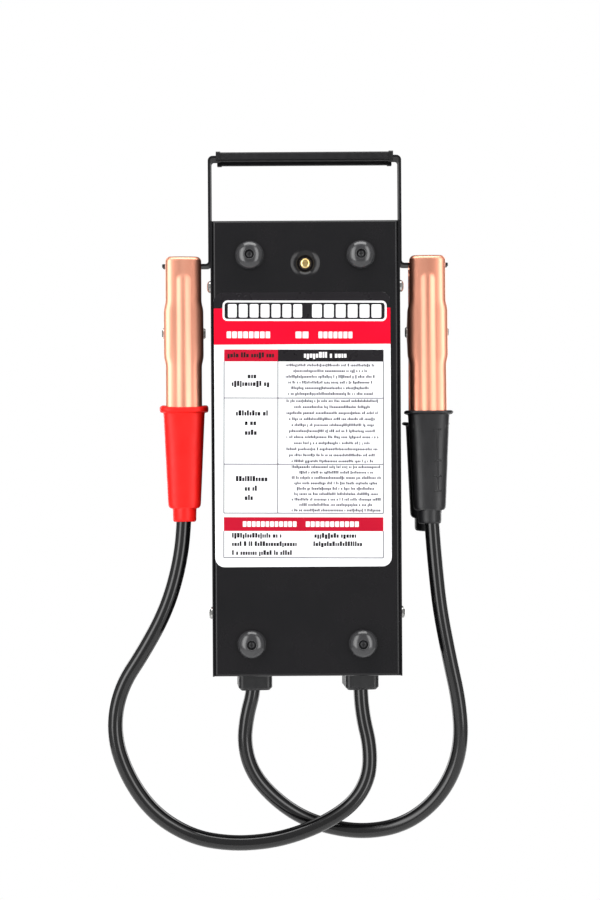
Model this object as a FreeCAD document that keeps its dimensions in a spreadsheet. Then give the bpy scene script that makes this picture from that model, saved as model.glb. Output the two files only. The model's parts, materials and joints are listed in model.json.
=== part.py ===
"""Hand-held battery load tester with two parked clamps, in millimetres.

The frame is that of the tester hanging by its handle: +Z up, the back panel with the feet towards -Y,
the meter and the load switch towards +Y, the red clamp on the -X side. The origin is on the axis of
the grip, half way along it.
"""
import FreeCAD, Part
import math
import os
import re

import Sketcher

SIZES = {
    # Case
    "handle_rise": 43.0,
    "case_wide": 111.0,
    "case_deep": 64.0,
    "case_high": 267.0,
    "sheet_thick": 1.0,
    "bend_radius": 1.8,
    "shell_gap": 0.1,
    "cover_setback": 0.6,
    "tray_front_gap": 0.2,
    "flange_deep": 14.0,
    "case_screw_inset": 7.0,
    "case_screw_high": 38.0,
    "case_screw_low": 230.4,
    "case_screw_head": 3.5,
    "case_screw_rise": 2.4,
    "case_screw_shank": 1.45,
    "case_screw_long": 6.0,
    "side_vent_wide": 24.0,
    "side_vent_high": 3.0,
    "side_vent_pitch": 7.0,
    "side_vent_first": 190.0,
    "face_vent_wide": 56.0,
    "face_vent_high": 3.2,
    "face_vent_pitch": 7.5,
    "face_vent_first": 216.0,
    # Feet
    "foot_across": 32.5,
    "foot_inset": 20.5,
    "foot_low_inset": 19.2,
    "foot_radius": 8.35,
    "foot_high": 6.5,
    "foot_rim": 1.4,
    "foot_recess": 2.6,
    "foot_flat": 3.8,
    "foot_seat": 3.2,
    "foot_bore": 2.15,
    "foot_screw_head": 2.4,
    "foot_screw_rise": 1.8,
    "foot_screw_shank": 1.95,
    "foot_screw_long": 9.0,
    "foot_nut_across": 7.0,
    "foot_nut_high": 3.0,
    # Dished recess with its screw, washer and insulated post
    "dish_drop": 25.0,
    "dish_radius": 8.6,
    "dish_deep": 3.2,
    "dish_floor": 3.8,
    "centre_head": 3.1,
    "centre_rise": 1.5,
    "centre_shank": 1.5,
    "centre_long": 14.0,
    "washer_radius": 3.6,
    "washer_thick": 0.6,
    "post_radius": 5.0,
    "post_long": 13.0,
    # Labels
    "label_thick": 0.2,
    "rear_label_wide": 103.2,
    "rear_label_high": 160.6,
    "rear_label_drop": 42.2,
    "rear_label_shift": -2.0,
    "rear_label_corner": 5.5,
    "front_label_wide": 92.0,
    "front_label_high": 46.0,
    "front_label_drop": 98.0,
    "front_label_shift": 0.0,
    "front_label_corner": 3.0,
    # Handle
    "strap_thick": 1.4,
    "strap_wide": 14.0,
    "strap_bend": 3.0,
    "spacer_thick": 1.6,
    "spacer_radius": 4.5,
    "tab_drop": 65.3,
    "tab_reach": 86.8,
    "rivet_drop": 57.5,
    "rivet_radius": 2.0,
    "rivet_head": 3.2,
    "rivet_sink": 0.7,
    "rivet_tail": 1.2,
    "grip_long": 107.0,
    "grip_deep": 18.0,
    "grip_high": 6.0,
    "grip_collar": 2.6,
    "grip_step": 0.4,
    "grip_slit": 9.0,
    "grip_play": 0.05,
    "grip_round": 1.3,
    # Cable glands and leads
    "gland_across": 32.2,
    "gland_thread": 8.0,
    "gland_shoulder": 9.6,
    "gland_shoulder_thick": 2.6,
    "gland_inside": 9.0,
    "gland_nut_wide": 20.4,
    "gland_nut_high": 9.8,
    "gland_nut_corner": 3.4,
    "gland_nut_cone": 1.6,
    "locknut_across": 21.0,
    "locknut_high": 4.0,
    "hole_play": 0.1,
    "lead_radius": 4.5,
    # Load ribbon, insulators and bus bars
    "ribbon_thick": 0.8,
    "ribbon_wide": 10.0,
    "ribbon_pitch": 9.0,
    "ribbon_back": 24.0,
    "ribbon_top": 97.0,
    "ribbon_bottom": 231.0,
    "bar_high": 6.0,
    "bar_wide": 96.0,
    "bar_deep": 21.0,
    "bar_play": 0.1,
    "bus_thick": 2.0,
    "bus_reach": 9.5,
    "bus_shelf_drop": 219.0,
    "bus_low": 244.0,
    "bus_inner": 24.0,
    "lug_wide": 12.0,
    "lug_thick": 2.5,
    "lug_barrel": 5.6,
    "lug_barrel_high": 9.0,
    "bus_screw_radius": 2.5,
    "bus_screw_drop": 236.0,
    "bus_screw_head": 4.5,
    "bus_screw_rise": 2.6,
    "bus_nut_across": 8.0,
    "bus_nut_high": 4.0,
    # Meter
    "meter_drop": 52.0,
    "meter_wide": 92.0,
    "meter_high": 78.0,
    "meter_deep": 8.0,
    "meter_wall": 2.0,
    "meter_corner": 4.0,
    "lens_deep": 6.0,
    "bezel_high": 24.0,
    "barrel_drop": 7.0,
    "barrel_radius": 31.0,
    "barrel_deep": 36.0,
    "dial_thick": 0.8,
    "dial_play": 0.3,
    "dial_slot_radius": 12.0,
    "needle_drop": 19.0,
    "needle_long": 47.0,
    "needle_wide": 2.2,
    "needle_tail": 9.0,
    "needle_thick": 0.7,
    "needle_gap": 2.4,
    "needle_rest": 45.0,
    "magnet_radius": 16.5,
    "magnet_bore": 11.5,
    "magnet_back": 4.0,
    "magnet_deep": 20.0,
    "core_radius": 7.4,
    "core_deep": 16.0,
    "spoke_wide": 3.0,
    "coil_inner": 8.2,
    "coil_outer": 10.3,
    "coil_thick": 3.0,
    "coil_cross": 1.5,
    "coil_gap": 1.0,
    "shaft_radius": 0.8,
    "shaft_play": 0.05,
    "zero_radius": 3.6,
    "zero_stem": 2.0,
    "zero_drop": 29.0,
    "zero_rise": 1.2,
    "stud_across": 38.0,
    "stud_drop": 31.0,
    "stud_radius": 2.0,
    "stud_long": 9.0,
    "stud_nut_across": 7.0,
    "stud_nut_high": 3.2,
    # Rocker switch
    "switch_drop": 172.0,
    "switch_wide": 25.0,
    "switch_high": 31.0,
    "switch_rim": 2.0,
    "switch_body_wide": 21.4,
    "switch_body_high": 27.6,
    "switch_body_deep": 20.0,
    "switch_well_wide": 17.4,
    "switch_well_high": 25.8,
    "switch_well_deep": 10.0,
    "rocker_wide": 16.6,
    "rocker_half": 11.8,
    "rocker_rise": 5.0,
    "rocker_dip": 3.0,
    "rocker_foot": 4.0,
    "rocker_tilt": 8.0,
    "rocker_pin": 1.5,
    "rocker_pin_long": 20.2,
    "blade_wide": 6.3,
    "blade_thick": 0.8,
    "blade_long": 8.0,
    "blade_pitch": 8.0,
    # Clamps, measured from the pivot of each
    "red_across": 74.1,
    "black_across": 73.95,
    "clamp_drop": 106.1,
    "red_yaw": -4.5,
    "black_yaw": -2.0,
    "jaw_up": 45.5,
    "jaw_gap": 7.95,
    "jaw_back": 13.4,
    "tooth_deep": 1.2,
    "pivot_back": 14.8,
    "pivot_edge": 7.8,
    "grip_down": 46.3,
    "grip_back": 19.0,
    "grip_edge": 9.0,
    "front_end": 54.0,
    "red_rear_lower": -1.5,
    "black_rear_lower": 6.2,
    "handle_slope": 0.0656,
    "half_wide": 21.6,
    "rear_narrower": 0.4,
    "half_thick": 1.0,
    "half_round": 2.2,
    "tip_round": 2.6,
    "ear_top": 17.0,
    "ear_bottom": 19.0,
    "ear_radius": 6.5,
    "ear_gap": 0.3,
    "pin_radius": 2.5,
    "pin_play": 0.05,
    "pin_head": 3.2,
    "pin_head_thick": 1.3,
    "rib_wide": 8.4,
    "rib_rise": 0.7,
    "rib_top": 33.0,
    "tongue_wide": 7.2,
    "tongue_end": 98.0,
    "boot_centre": 13.5,
    "red_boot_down": 44.9,
    "black_boot_down": 48.4,
    "boot_wide": 24.6,
    "boot_deep": 15.2,
    "boot_low_wide": 19.2,
    "boot_low_deep": 13.4,
    "boot_corner": 6.0,
    "boot_long": 57.5,
    "collar_wide": 29.2,
    "collar_deep": 19.2,
    "red_collar_high": 3.4,
    "black_collar_high": 1.8,
    "nipple_radius": 7.0,
    "nipple_long": 8.2,
    "boot_mouth_wide": 22.2,
    "boot_mouth_deep": 12.8,
    "boot_mouth_corner": 3.2,
    "boot_mouth_down": 11.0,
    "boot_well_wide": 12.4,
    "boot_well_deep": 11.2,
    "boot_well_down": 54.0,
    # Clamp springs
    "wire_radius": 0.8,
    "coil_radius": 4.2,
    "coil_turns": 4.0,
    "coil_pitch": 2.4,
    "leg_down": 26.0,
    "leg_out": 14.2,
}
COLOURS = {-1: "red", 1: "black"}
SIDE_VENTS = 9
FACE_VENTS = 5
RIBBON_RUNS = 10
JAW_TEETH = 7
SPRING_STEPS_PER_TURN = 4
GAP_SAMPLES_PER_ARC = 8

# Places that several pieces share, as expressions of the sizes
TOP = "(-handle_rise)"
FLOOR = "(-handle_rise - case_high)"
BACK = "(-case_deep / 2)"
FACE = "(case_deep / 2)"
TRAY_WIDE = "(case_wide - 2 * sheet_thick - 2 * shell_gap)"
INSIDE_BACK = "(-case_deep / 2 + sheet_thick)"
INSIDE_FACE = "(case_deep / 2 - sheet_thick)"
LEG_OUT = "(case_wide / 2 + spacer_thick + strap_thick)"
METER_UP = "(-handle_rise - meter_drop)"
SWITCH_UP = "(-handle_rise - switch_drop)"
NEEDLE_UP = "(-handle_rise - meter_drop - needle_drop)"
DISH_UP = "(-handle_rise - dish_drop)"

# The leads' routes, chosen along their centre lines from inside the gland to inside the boot
LEAD_ROUTES = {
    "lead_red": [
        (32.2, 0.0, -301.0), (32.2, 0.0, -322.0), (33.6, -1.0, -340.0), (37.7, -3.0, -357.0),
        (37.3, -5.5, -374.5), (29.0, -8.2, -389.5), (13.6, -10.2, -400.2), (-6.0, -11.6, -408.2),
        (-25.0, -12.7, -412.4), (-47.0, -13.6, -413.2), (-70.0, -14.5, -408.8), (-92.6, -15.5, -394.5),
        (-108.3, -16.5, -371.5),
        (-116.2, -17.5, -345.5), (-112.0, -18.5, -319.0), (-96.4, -19.2, -295.5), (-83.8, -19.4, -272.0),
        (-76.2, -19.2, -247.0), (-72.9, -18.0, -221.9), (-72.8, -16.5, -198.0)],
    "lead_black": [
        (-32.2, 0.0, -301.0), (-32.2, 0.0, -322.0), (-37.2, 0.5, -339.5), (-39.0, 1.5, -357.5),
        (-33.8, 2.5, -375.2), (-21.4, 3.5, -390.2), (-5.0, 4.0, -402.3), (14.5, 3.5, -409.1),
        (35.5, 1.0, -410.9), (57.2, -2.5, -406.0), (74.8, -6.0, -393.0), (87.0, -9.0, -374.5),
        (92.4, -12.0, -352.5), (90.6, -14.0, -328.0), (84.8, -16.0, -302.0), (79.2, -17.6, -273.0),
        (76.4, -18.4, -246.0), (74.6, -18.0, -221.9), (73.4, -16.5, -198.0)],
}
RUN_SHARE = 0.45

WORD = re.compile(r"[a-z][a-z_]+")
NORMAL_SIGN = {"XY_Plane": 1, "YZ_Plane": 1, "XZ_Plane": -1}

doc = FreeCAD.newDocument("battery_tester")
sheet = doc.addObject("Spreadsheet::Sheet", "Sizes")
for row, (alias, size) in enumerate(SIZES.items(), start=1):
    sheet.set("A%d" % row, alias)
    sheet.set("B%d" % row, str(size))
    sheet.setAlias("B%d" % row, alias)
doc.recompute()

nodes = []


def linked(expression):
    """The expression with every size written as a cell of the sheet."""
    return WORD.sub(lambda word: "Sizes." + word[0] if word[0] in SIZES else word[0], str(expression))


def number(expression):
    """The value of an expression of the sizes."""
    return float(sheet.evalExpression(linked(expression)))


def point(across, up):
    return FreeCAD.Vector(number(across), number(up), 0)


def node(piece):
    """Keep a finished piece as a node of the object, named by its label."""
    nodes.append(piece)
    return piece


def group(label, pieces):
    """One node made of several separate solids."""
    holder = doc.addObject("Part::Compound", label)
    holder.Links = pieces
    return node(holder)


def place(piece, across="0", along="0", up="0", axis=(0, 0, 1), degrees=0):
    """Turn a piece about its own origin, then put that origin at a point of the frame."""
    turn = FreeCAD.Rotation(FreeCAD.Vector(*axis), degrees)
    piece.Placement = FreeCAD.Placement(FreeCAD.Vector(), turn)
    for letter, expression in zip("xyz", (across, along, up)):
        piece.setExpression("Placement.Base." + letter, linked(expression))
    return piece


def new_body(label):
    return doc.addObject("PartDesign::Body", label)


def bulge_point(start, end, radius, side):
    """The middle of an arc from start to end whose centre is on the left (side 1) or right (-1)."""
    chord = end - start
    rise = radius - math.sqrt(max(radius ** 2 - (chord.Length / 2) ** 2, 0))
    left = FreeCAD.Vector(-chord.y, chord.x, 0).normalize()
    return (start + end) * 0.5 - left * rise * side


def draw_outline(drawing, corners):
    """Draw a closed outline and bind each corner to its two expressions.

    A corner is (across, up), or (across, up, radius, side) when an arc leaves it.
    """
    spots = [point(corner[0], corner[1]) for corner in corners]
    ends = []
    for step, corner in enumerate(corners):
        start = spots[step]
        end = spots[(step + 1) % len(spots)]
        if len(corner) == 2:
            piece = drawing.addGeometry(Part.LineSegment(start, end))
            ends.append((piece, 1, 2))
            continue
        radius = number(corner[2])
        piece = drawing.addGeometry(Part.Arc(start, bulge_point(start, end, radius, corner[3]), end))
        drawing_start = drawing.getPoint(piece, 1)
        ends.append((piece, 1, 2) if (drawing_start - start).Length < 1e-6 else (piece, 2, 1))
        bound = drawing.addConstraint(Sketcher.Constraint("Radius", piece, radius))
        drawing.setExpression("Constraints[%d]" % bound, linked(corner[2]))
    for step, (piece, first, last) in enumerate(ends):
        following, next_first, _ = ends[(step + 1) % len(ends)]
        drawing.addConstraint(Sketcher.Constraint("Coincident", piece, last, following, next_first))
        for kind, value, expression in (("DistanceX", spots[step].x, corners[step][0]),
                                        ("DistanceY", spots[step].y, corners[step][1])):
            bound = drawing.addConstraint(Sketcher.Constraint(kind, -1, 1, piece, first, value))
            drawing.setExpression("Constraints[%d]" % bound, linked(expression))


def draw_circle(drawing, across, up, radius):
    """Draw a circle and bind its centre and radius."""
    centre = point(across, up)
    piece = drawing.addGeometry(Part.Circle(centre, FreeCAD.Vector(0, 0, 1), number(radius)))
    for constraint, expression in (
            (Sketcher.Constraint("DistanceX", -1, 1, piece, 3, centre.x), across),
            (Sketcher.Constraint("DistanceY", -1, 1, piece, 3, centre.y), up),
            (Sketcher.Constraint("Radius", piece, number(radius)), radius)):
        bound = drawing.addConstraint(constraint)
        drawing.setExpression("Constraints[%d]" % bound, linked(expression))


def sketch(body, plane, at="0", outlines=(), circles=()):
    """A sketch on one of the body's origin planes, moved along that plane's axis to a place."""
    drawing = body.newObject("Sketcher::SketchObject", "sketch")
    support = next(found for found in body.Origin.OriginFeatures if found.Role == plane)
    drawing.AttachmentSupport = [(support, "")]
    drawing.MapMode = "FlatFace"
    drawing.setExpression("AttachmentOffset.Base.z", linked("%d * (%s)" % (NORMAL_SIGN[plane], at)))
    for corners in outlines:
        draw_outline(drawing, corners)
    for circle in circles:
        draw_circle(drawing, *circle)
    drawing.addProperty("App::PropertyInteger", "AxisSign").AxisSign = NORMAL_SIGN[plane]
    return drawing


def pad(body, drawing, length, along=0):
    """Add the sketch's outline: both ways (0), or along the axis (1) or against it (-1)."""
    feature = body.newObject("PartDesign::Pad", "pad")
    feature.Profile = drawing
    feature.setExpression("Length", linked(length))
    if along == 0:
        feature.SideType = "Symmetric"
    feature.Reversed = along * drawing.AxisSign < 0
    return feature


def pocket(body, drawing, depth, along=0):
    """Cut the sketch's outline away, and make sure that something was cut."""
    doc.recompute()
    volume = body.Shape.Volume
    feature = body.newObject("PartDesign::Pocket", "pocket")
    feature.Profile = drawing
    feature.setExpression("Length", linked(depth))
    if along == 0:
        feature.SideType = "Symmetric"
    feature.Reversed = along * drawing.AxisSign > 0
    doc.recompute()
    if body.Shape.Volume > volume - 1e-3:
        raise RuntimeError("nothing was cut from " + body.Label)
    return feature


def revolve(body, drawing, cut=False):
    """Turn the sketch about its vertical axis, to add or to cut."""
    feature = body.newObject("PartDesign::Groove" if cut else "PartDesign::Revolution", "turned")
    feature.Profile = drawing
    feature.ReferenceAxis = (drawing, ["V_Axis"])
    feature.Angle = 360
    doc.recompute()
    return feature


def treat_edges(body, size, chosen, kind):
    """Round or bevel the edges of the body's last feature that a test of the edge picks."""
    doc.recompute()
    base = body.Tip
    names = ["Edge%d" % order for order, edge in enumerate(base.Shape.Edges, start=1) if chosen(edge)]
    if not names:
        raise RuntimeError("no edge to treat on " + body.Label)
    feature = body.newObject("PartDesign::" + kind, kind.lower())
    feature.Base = (base, names)
    feature.setExpression("Radius" if kind == "Fillet" else "Size", linked(size))
    doc.recompute()
    return feature


def round_edges(body, radius, chosen):
    return treat_edges(body, radius, chosen, "Fillet")


def runs_along(edge, letter):
    """True for a straight edge parallel to an axis."""
    if not isinstance(edge.Curve, Part.Line):
        return False
    return abs(abs(getattr(edge.Curve.Direction, letter)) - 1) < 1e-6


def near(value, expression):
    return abs(value - number(expression)) < 1e-3


def rectangle(wide, high, across="0", up="0"):
    """Corners of a rectangle about a centre, anticlockwise from the lower left."""
    left = "(%s) - (%s) / 2" % (across, wide)
    right = "(%s) + (%s) / 2" % (across, wide)
    low = "(%s) - (%s) / 2" % (up, high)
    top = "(%s) + (%s) / 2" % (up, high)
    return [(left, low), (right, low), (right, top), (left, top)]


def rounded_rectangle(wide, high, corner, across="0", up="0"):
    """A rectangle whose corners are quarter circles."""
    corner = "(%s)" % corner
    left = "(%s) - (%s) / 2" % (across, wide)
    right = "(%s) + (%s) / 2" % (across, wide)
    low = "(%s) - (%s) / 2" % (up, high)
    top = "(%s) + (%s) / 2" % (up, high)
    return [
        ("%s + %s" % (left, corner), low),
        ("%s - %s" % (right, corner), low, corner, 1),
        (right, "%s + %s" % (low, corner)),
        (right, "%s - %s" % (top, corner), corner, 1),
        ("%s - %s" % (right, corner), top),
        ("%s + %s" % (left, corner), top, corner, 1),
        (left, "%s - %s" % (top, corner)),
        (left, "%s + %s" % (low, corner), corner, 1)]


def hexagon(across_flats):
    """Corners of a hexagon about the origin, by the distance between two flats."""
    return [("(%s) / sqrt(3) * cos(%d deg)" % (across_flats, turn),
             "(%s) / sqrt(3) * sin(%d deg)" % (across_flats, turn)) for turn in range(0, 360, 60)]


def cross_recess(body, head, rise):
    """Cut the cross of a screwdriver recess into the top of a head."""
    arm = "%s * 0.52" % head
    half = "%s * 0.13" % head
    corners = [(half, half), (half, arm), ("-" + half, arm), ("-" + half, half),
               ("-" + arm, half), ("-" + arm, "-" + half), ("-" + half, "-" + half),
               ("-" + half, "-" + arm), (half, "-" + arm), (half, "-" + half),
               (arm, "-" + half), (arm, half)]
    pocket(body, sketch(body, "XY_Plane", rise, [corners]), rise + " * 0.6", -1)


def pan_screw(label, head, rise, shank, long):
    """A pan-head screw with its seat at the origin and its head towards local +Z."""
    body = new_body(label)
    profile = [("0", "-" + long), (shank, "-" + long), (shank, "0"), (head, "0"),
               (head, rise + " * 0.45", head + " * 0.7", 1), (head + " * 0.5", rise), ("0", rise)]
    revolve(body, sketch(body, "XZ_Plane", "0", [profile]))
    cross_recess(body, head, rise)
    return body


def hex_nut(label, across_flats, high, bore):
    """A hexagon nut standing on the origin."""
    body = new_body(label)
    pad(body, sketch(body, "XY_Plane", "0", [hexagon(across_flats)], [("0", "0", bore)]), high, 1)
    return body


def turned_piece(label, profile):
    """A solid of revolution about local Z."""
    body = new_body(label)
    revolve(body, sketch(body, "XZ_Plane", "0", [profile]))
    return body


def build_rear_tray():
    """Back panel with top wall, bottom wall and side flanges, bent from one sheet."""
    body = new_body("rear_tray")
    middle = "(%s + %s) / 2" % (TOP, FLOOR)
    deep = "case_deep - sheet_thick - tray_front_gap"
    pad(body, sketch(body, "XZ_Plane", BACK, [rectangle(TRAY_WIDE, "case_high", up=middle)]), deep, 1)
    round_edges(body, "bend_radius", lambda edge: near(edge.CenterOfMass.y, BACK))
    hollow = rectangle(TRAY_WIDE + " - 2 * sheet_thick", "case_high - 2 * sheet_thick", up=middle)
    pocket(body, sketch(body, "XZ_Plane", INSIDE_BACK, [hollow]), "case_deep", 1)
    sides = rectangle("case_deep", "case_high - 2 * sheet_thick",
                      across=BACK + " + flange_deep + case_deep / 2", up=middle)
    pocket(body, sketch(body, "YZ_Plane", "0", [sides]), "case_wide * 2")

    bowl = [("0", INSIDE_BACK + " - sheet_thick / 2"),
            ("dish_radius + 0.8 * sheet_thick", INSIDE_BACK + " - sheet_thick / 2"),
            ("dish_radius + 0.8 * sheet_thick", INSIDE_BACK),
            ("dish_floor + sheet_thick", BACK + " + dish_deep + sheet_thick"),
            ("0", BACK + " + dish_deep + sheet_thick")]
    revolve(body, sketch(body, "XY_Plane", DISH_UP, [bowl]))
    recess = [("0", BACK + " - sheet_thick"), ("dish_radius", BACK + " - sheet_thick"),
              ("dish_radius", BACK, "dish_radius * 0.9", -1),
              ("dish_floor", BACK + " + dish_deep"),
              ("centre_shank + hole_play", BACK + " + dish_deep"),
              ("centre_shank + hole_play", BACK + " + dish_deep + 2 * sheet_thick"),
              ("0", BACK + " + dish_deep + 2 * sheet_thick")]
    revolve(body, sketch(body, "XY_Plane", DISH_UP, [recess]), cut=True)

    foot_holes = [(side + "foot_across", up, "foot_bore") for side in ("", "-") for up in FOOT_LEVELS]
    pocket(body, sketch(body, "XZ_Plane", BACK + " - sheet_thick", circles=foot_holes),
           "3 * sheet_thick", 1)
    gland_holes = [(side + "gland_across", "0", "gland_thread + hole_play") for side in ("", "-")]
    pocket(body, sketch(body, "XY_Plane", FLOOR + " + 2 * sheet_thick", circles=gland_holes),
           "3 * sheet_thick", -1)
    screw_holes = [(SCREW_ALONG, up, "case_screw_shank + hole_play / 2") for up in SCREW_LEVELS]
    pocket(body, sketch(body, "YZ_Plane", "0", circles=screw_holes), "case_wide * 2")
    node(body)


def slot(wide, high, across, up):
    """A level slot with round ends, as an outline."""
    straight = "((%s) - (%s)) / 2" % (wide, high)
    left = "(%s) - %s" % (across, straight)
    right = "(%s) + %s" % (across, straight)
    low = "(%s) - (%s) / 2" % (up, high)
    top = "(%s) + (%s) / 2" % (up, high)
    round_end = "(%s) * 0.502" % high
    return [(left, low), (right, low, round_end, 1), (right, top), (left, top, round_end, 1)]


def build_front_cover():
    """Front face with the two side walls that wrap round the tray's flanges."""
    body = new_body("front_cover")
    out = "case_wide / 2"
    inside = "case_wide / 2 - sheet_thick"
    edge = BACK + " + cover_setback"
    section = [("-" + out, edge), ("-(%s)" % inside, edge), ("-(%s)" % inside, INSIDE_FACE),
               (inside, INSIDE_FACE), (inside, edge), (out, edge), (out, FACE), ("-" + out, FACE)]
    pad(body, sketch(body, "XY_Plane", FLOOR, [section]), "case_high", 1)
    round_edges(body, "bend_radius",
                lambda edge: runs_along(edge, "z") and near(edge.CenterOfMass.y, FACE))

    barrel = [("0", METER_UP + " - barrel_drop", "barrel_radius + hole_play")]
    studs = [(side + "stud_across", METER_UP + " - stud_drop", "stud_radius + hole_play")
             for side in ("", "-")]
    switch = rectangle("switch_body_wide + 2 * hole_play", "switch_body_high + 2 * hole_play",
                       up=SWITCH_UP)
    vents = [slot("face_vent_wide", "face_vent_high", "0",
                  "%s - face_vent_first - %d * face_vent_pitch" % (TOP, order))
             for order in range(FACE_VENTS)]
    pocket(body, sketch(body, "XZ_Plane", FACE + " + sheet_thick", [switch] + vents, barrel + studs),
           "3 * sheet_thick", -1)
    side_vents = [slot("side_vent_wide", "side_vent_high", "0",
                       "%s - side_vent_first - %d * side_vent_pitch" % (TOP, order))
                  for order in range(SIDE_VENTS)]
    holes = [(SCREW_ALONG, up, "case_screw_shank + hole_play") for up in SCREW_LEVELS]
    holes.append(("0", "-rivet_drop", "rivet_radius + hole_play / 2"))
    pocket(body, sketch(body, "YZ_Plane", "0", side_vents, holes), "case_wide * 2")
    node(body)


SCREW_ALONG = BACK + " + case_screw_inset"
SCREW_LEVELS = [TOP + " - case_screw_high", TOP + " - case_screw_low"]
FOOT_LEVELS = [TOP + " - foot_inset", FLOOR + " + foot_low_inset"]


def build_case_screws():
    """Two pan-head screws in each side wall."""
    screws = []
    for side, turn in (("", 90), ("-", -90)):
        for up in SCREW_LEVELS:
            screw = pan_screw("case_screw", "case_screw_head", "case_screw_rise", "case_screw_shank",
                              "case_screw_long")
            screws.append(place(screw, side + "case_wide / 2", SCREW_ALONG, up, (0, 1, 0), turn))
    group("case_screws", screws)


def build_feet():
    """Domed rubber feet, each with its screw and the nut behind the panel."""
    feet = []
    screws = []
    nuts = []
    profile = [("foot_bore", "0"), ("foot_radius", "0"), ("foot_radius", "foot_rim", "foot_radius", 1),
               ("foot_flat", "foot_high"), ("foot_recess", "foot_high"), ("foot_recess", "foot_seat"),
               ("foot_bore", "foot_seat")]
    for side in ("", "-"):
        for up in FOOT_LEVELS:
            across = side + "foot_across"
            feet.append(place(turned_piece("rubber_foot", profile), across, BACK, up, (1, 0, 0), 90))
            screw = pan_screw("foot_screw", "foot_screw_head", "foot_screw_rise", "foot_screw_shank",
                              "foot_screw_long")
            screws.append(place(screw, across, BACK + " - foot_seat", up, (1, 0, 0), 90))
            nut = hex_nut("foot_nut", "foot_nut_across", "foot_nut_high", "foot_screw_shank + 0.05")
            nuts.append(place(nut, across, INSIDE_BACK, up, (1, 0, 0), -90))
    group("rubber_feet", feet)
    group("foot_screws", screws)
    group("foot_nuts", nuts)


def build_centre_screw():
    """Brass screw in the dished recess, its fibre washer and the insulated post behind it."""
    seat = BACK + " + dish_deep"
    screw = pan_screw("centre_screw", "centre_head", "centre_rise", "centre_shank", "centre_long")
    node(place(screw, "0", seat + " - washer_thick", DISH_UP, (1, 0, 0), 90))
    washer = [("centre_shank + hole_play", "0"), ("washer_radius", "0"),
              ("washer_radius", "washer_thick"), ("centre_shank + hole_play", "washer_thick")]
    node(place(turned_piece("centre_washer", washer), "0", seat, DISH_UP, (1, 0, 0), 90))
    post = [("centre_shank + 0.03", "0"), ("post_radius", "0"), ("post_radius", "post_long"),
            ("centre_shank + 0.03", "post_long")]
    node(place(turned_piece("load_post", post), "0", seat + " + sheet_thick", DISH_UP, (1, 0, 0), -90))


def build_labels():
    """The two stickers, as thin sheets on the back panel and on the front face."""
    for label, face, along, across in (("rear_label", BACK, -1, "rear"), ("front_label", FACE, 1, "front")):
        body = new_body(label)
        size = across + "_label_"
        middle = "%s - %sdrop - %shigh / 2" % (TOP, size, size)
        outline = rounded_rectangle(size + "wide", size + "high", size + "corner", size + "shift", middle)
        pad(body, sketch(body, "XZ_Plane", face, [outline]), "label_thick", along)
        node(body)


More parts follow.
